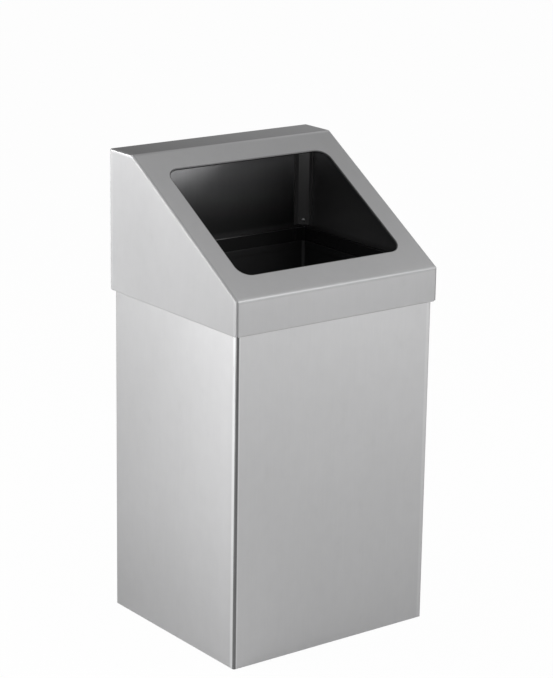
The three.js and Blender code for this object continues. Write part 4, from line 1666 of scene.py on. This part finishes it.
        outside, inside = (
            [*[loop(r * math.sin(a), bend - r * math.cos(a)) for a in QUARTER_TURN],
             loop(r, self.mouth_depth)]
            for r in (bend, bend - thick))
        builder.strips([*outside, inside[-1]], Surface.LIP)
        builder.strips(inside, Surface.INSIDE)
        ends = [(wide, low), (wide, high), (-wide, high), (-wide, low)]
        for ring, depth, surface in ((outside[0], 0, Surface.SHOW), (inside[0], thick, Surface.INSIDE)):
            for quarter, (x, along) in enumerate(ends):
                tip = self.on_slope(x, along, depth)
                arc = ring[quarter * (facets + 1):(quarter + 1) * (facets + 1)]
                for a, b in zip(arc, arc[1:]):
                    builder.face([tip, a, b], surface)

    def side_panel(self, side: int, name: str) -> bpy.types.Object:
        """One side panel, with a rounded lip to the face sheet and a hem turned in.

        Args:
            side: -1 for the left, 1 for the right.
            name: Name of the side.

        Returns:
            The panel.
        """
        stock = self.stock
        thick, radius = stock.thickness, stock.bend_radius
        wall_edge = self.edge + stock.hem_radius
        seam = self.half - radius - self.lip_straight

        def ring(x: float, inset: float) -> list[Vector]:
            """The hood's outline at a distance from the middle."""
            path = rounded_path(self.profile(min(inset, radius - LEAST_RADIUS), wall_edge))
            return [Vector((side * x, *point.place)) for point in path]

        def lip(offset: float) -> Grid:
            """Points of the lip's face at an offset from the outer one."""
            bend = radius - offset
            over = [
                (self.half - radius + bend * math.sin(a), radius - bend * math.cos(a)) for a in QUARTER_TURN]
            return [ring(x, inset) for x, inset in [(seam, offset), *over]]

        near, far = lip(0), lip(thick)
        rows = len(near) - 1
        stop = 2 * stock.hem_radius + stock.hem_notch
        stops = [self.back - stop, self.front + stop]
        builder = MeshBuilder().sheet(near, far, lambda i, j: i >= rows)
        builder.sheet(*swept(
            stock.hemmed(stock.hem_radius), stops,
            lambda y, spot: Vector((side * (self.half - spot.x), y, self.edge - spot.y)),
        ), lambda i, j: j < 0)
        lower = [
            [Vector((side * (self.half - depth), y, wall_edge)) for y in stops] for depth in (0, thick)]
        builder.face([*near[-1], *lower[0]])
        builder.face([*far[-1], *lower[1]], Surface.INSIDE)
        for end, k in ((-1, 0), (0, 1)):
            builder.face([near[-1][end], far[-1][end], lower[1][k], lower[0][k]])
        return settled(f"hood_side_sheet_{name}", builder, self.side_finishes)

    def seam(self, side: int, name: str) -> bpy.types.Object:
        """The ground weld between a side panel's lip and the face sheet.

        Args:
            side: -1 for the left, 1 for the right.
            name: Name of the side.

        Returns:
            The weld.
        """
        near, far = (side * x for x in (self.reach, self.reach + self.stock.seam_gap))
        rings = []
        for point in rounded_path(self.profile(0, self.edge + self.stock.hem_radius)):
            face = point.place - point.normal * self.seam_sink
            root = point.place - point.normal * (self.stock.thickness - self.seam_sink)
            rings.append([Vector((x, *spot)) for x, spot in (
                (near, face), (far, face), (far, root), (near, root))])
        builder = MeshBuilder().solid(rings)
        return settled(f"hood_seam_{name}", builder, [WELD], edge=0)

    def post(self, side: int, name: str) -> bpy.types.Object:
        """The folded post across one rear corner.

        Args:
            side: -1 for the left, 1 for the right.
            name: Name of the side.

        Returns:
            The post.
        """
        low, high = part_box(f"hood_post_{name}")
        across, back = (high.x if side > 0 else -low.x), high.y
        leg, flange, bend = self.post_leg, self.post_flange, self.post_bend
        section = folded_section([
            (across - leg - flange, back, 0), (across - leg, back, bend),
            (across, back - leg, bend), (across, back - leg - flange, 0),
        ], self.stock.thickness)
        builder = MeshBuilder().sheet(*swept(
            section, (low.z, high.z), lambda z, spot: Vector((side * spot.x, spot.y, z))))
        return settled(f"corner_post_{name}", builder, [self.post_finish])

    def pad(self, side: int, name: str) -> bpy.types.Object:
        """The rubber pad behind one post, which rests on the rim.

        Args:
            side: -1 for the left, 1 for the right.
            name: Name of the side.

        Returns:
            The pad.
        """
        low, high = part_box(f"hood_pad_{name}")
        across, back = (high.x if side > 0 else -low.x), high.y
        long, trim = high.y - low.y, self.pad_trim
        stub = self.post_leg - self.stock.seam_gap * math.sqrt(2) - long
        outline = [(-long, 0), (-trim, 0), (0, -trim), (0, -long), (-stub, -long), (-long, -stub)]
        builder = MeshBuilder().solid([
            [Vector((side * (across + x), back + y, z)) for x, y in outline] for z in (low.z, high.z)])
        return settled(f"corner_pad_{name}", builder, [RUBBER], edge=self.pad_edge)

    def rivets(self) -> None:
        """The two dome-head rivets that hold the pads."""
        under = self.stock.thickness
        rise = [math.pi / 2 * k / self.rivet_facets for k in range(self.rivet_facets)]
        builder = MeshBuilder().turned([
            (0, under - self.rivet_rim), (self.rivet_head, under - self.rivet_rim),
            *[(self.rivet_head * math.cos(a), under + self.rivet_crown * math.sin(a)) for a in rise],
            (0, under + self.rivet_crown),
        ])
        spots = {}
        for side, name in SIDES:
            post_low, post_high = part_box(f"hood_post_{name}")
            across = (post_high.x if side > 0 else -post_low.x) - self.post_leg / 2
            height = sum(corner.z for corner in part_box(f"hood_rivet_{name}")) / 2
            turn = Vector((-side, -1, 0)).normalized().to_track_quat("Z", "Y").to_euler()
            place = (side * across, post_high.y - self.post_leg / 2, height)
            spots[f"hood_rivet_{name}"] = (place, tuple(turn))
        pattern = settled("rivet_pattern", builder, [RIVET], edge=0)
        self.rider.seat_copies("pad_rivets", pattern, RIVET, spots, "zinc_plated")

    def build(self) -> None:
        """Builds the whole hood."""
        self.rider.seat(self.face_sheet(), "satin_stainless", "hood_face_sheet")
        for side, name in SIDES:
            self.rider.seat(self.side_panel(side, name), "satin_stainless", f"hood_side_{name}")
            self.rider.seat(self.seam(side, name), "satin_stainless")
            self.rider.seat(self.post(side, name), "satin_stainless", f"hood_post_{name}")
            self.rider.seat(self.pad(side, name), "black_rubber", f"hood_pad_{name}")
        self.rivets()


# ---- Studio --------------------------------------------------------------------------------


@dataclass(frozen=True)
class Softbox:
    """A square lamp with a soft front."""

    name: str
    place: Direction
    side: float
    watts: float
    aim: Direction = (0.0, 0.0, 0.35)

    def build(self) -> None:
        """Puts the lamp in the scene, turned to what it is aimed at."""
        lamp = bpy.data.lights.new(self.name, "AREA")
        lamp.shape = "SQUARE"
        lamp.size = self.side
        lamp.energy = self.watts
        holder = linked(self.name, lamp)
        holder.location = self.place
        turn = (Vector(self.aim) - Vector(self.place)).to_track_quat("-Z", "Y")
        holder.rotation_euler = turn.to_euler()
        holder.visible_camera = False


@dataclass(frozen=True)
class Studio:
    """Floor, lamps, surroundings and camera."""

    floor_half: float = 30.0
    floor_colour: Colour = (0.64, 0.64, 0.64)
    floor_white: float = 0.975  # how much of the floor is plain white to the camera
    floor_white_in_metal: float = 0.18  # and how much of it in reflections
    image_long_side: float = 678.0
    sensor: float = 36.0
    focal_pixels: float = 2329.5
    clip: tuple[float, float] = (0.1, 100.0)
    camera_place: Direction = (-1.9641, -2.6198, 1.3568)
    camera_yaw: float = 0.64553
    camera_pitch: float = 0.27689
    camera_roll: float = 0.01584
    sky: tuple[tuple[float, float], ...] = (  # height and brightness
        (0.0, 0.15), (0.12, 0.16), (0.3, 0.24), (0.6, 0.44), (1.0, 0.58))
    softboxes: tuple[Softbox, ...] = (
        Softbox("left_strip_light", (-1.3, 0.2, 0.5), 0.5, 9.4),
        Softbox("left_back_low_softbox", (-2.0, 1.8, 0.7), 1.0, 9.6),
        Softbox("left_back_softbox", (-2.0, 1.8, 1.3), 1.0, 25.8),
        Softbox("right_softbox", (2.3, 0.0, 1.8), 1.2, 5.0),
        Softbox("front_right_low_softbox", (1.5, -2.2, 0.7), 1.0, 5.8),
        Softbox("front_right_softbox", (1.3, -1.8, 1.8), 2.7, 39.0),
    )

    def floor(self) -> None:
        """Pale floor that keeps the object's shadow."""
        shading = Shading("studio_floor")
        path = shading.node("ShaderNodeLightPath")
        camera, glossy, through = (
            Value(shading, path.outputs[f"Is {kind} Ray"]) for kind in ("Camera", "Glossy", "Transmission"))
        white = (camera * self.floor_white).greater(glossy.greater(through) * self.floor_white_in_metal)
        matt = shading.node("ShaderNodeBsdfDiffuse", {"Color": self.floor_colour})
        glow = shading.node("ShaderNodeEmission", {"Color": (1, 1, 1), "Strength": 1.0})
        mesh = bpy.data.meshes.new("studio_floor")
        half = self.floor_half
        mesh.from_pydata(
            [(-half, -half, 0), (half, -half, 0), (half, half, 0), (-half, half, 0)], [], [(0, 1, 2, 3)])
        mesh.materials.append(shading.ended(
            shading.node("ShaderNodeMixShader", {0: white, 1: matt, 2: glow})))
        floor = linked("studio_floor", mesh)

    def surroundings(self) -> None:
        """Soft grey studio round the object, in bands of brightness by height."""
        world = bpy.data.worlds.new("studio")
        bpy.context.scene.world = world
        world.use_nodes = True
        tree = NodeTree(world.node_tree)
        tree.tree.nodes.clear()
        direction = tree.node("ShaderNodeTexCoord")
        split = tree.node("ShaderNodeSeparateXYZ", {0: direction.outputs["Generated"]})
        bands = tree.node("ShaderNodeValToRGB", {0: split.outputs["Z"]}, stops=[
            (height, (grey, grey, grey)) for height, grey in self.sky])
        tree.node("ShaderNodeOutputWorld", {
            "Surface": tree.node("ShaderNodeBackground", {"Color": bands})})

    def camera(self) -> None:
        """Camera at the photograph's place, with its lens."""
        lens = bpy.data.cameras.new("camera")
        lens.sensor_width = self.sensor
        lens.lens = self.focal_pixels * self.sensor / self.image_long_side
        lens.clip_start, lens.clip_end = self.clip
        yaw, pitch, roll = self.camera_yaw, self.camera_pitch, self.camera_roll
        forward = Vector((
            math.sin(yaw) * math.cos(pitch), math.cos(yaw) * math.cos(pitch), -math.sin(pitch)))
        level = Vector((math.cos(yaw), -math.sin(yaw), 0))
        above = level.cross(forward)
        right = level * math.cos(roll) + above * math.sin(roll)
        up = above * math.cos(roll) - level * math.sin(roll)
        turn = Matrix((right, up, -forward)).transposed().to_4x4()
        holder = linked("camera", lens)
        holder.matrix_world = Matrix.Translation(Vector(self.camera_place)) @ turn
        bpy.context.scene.camera = holder

    def build(self) -> None:
        """Sets up the whole studio."""
        bpy.context.scene.view_settings.view_transform = "Standard"
        self.camera()
        self.floor()
        self.surroundings()
        for softbox in self.softboxes:
            softbox.build()


# ---- Assembly ------------------------------------------------------------------------------


def main() -> None:
    """Builds the scene in order."""
    logging.basicConfig(level=logging.INFO, format="%(name)s: %(message)s")
    Studio().build()
    for assembly in (BodyShell(), Liner(), Hood()):
        assembly.build()
        LOG.info("built %s", type(assembly).__name__)


if __name__ == "__main__":
    main()
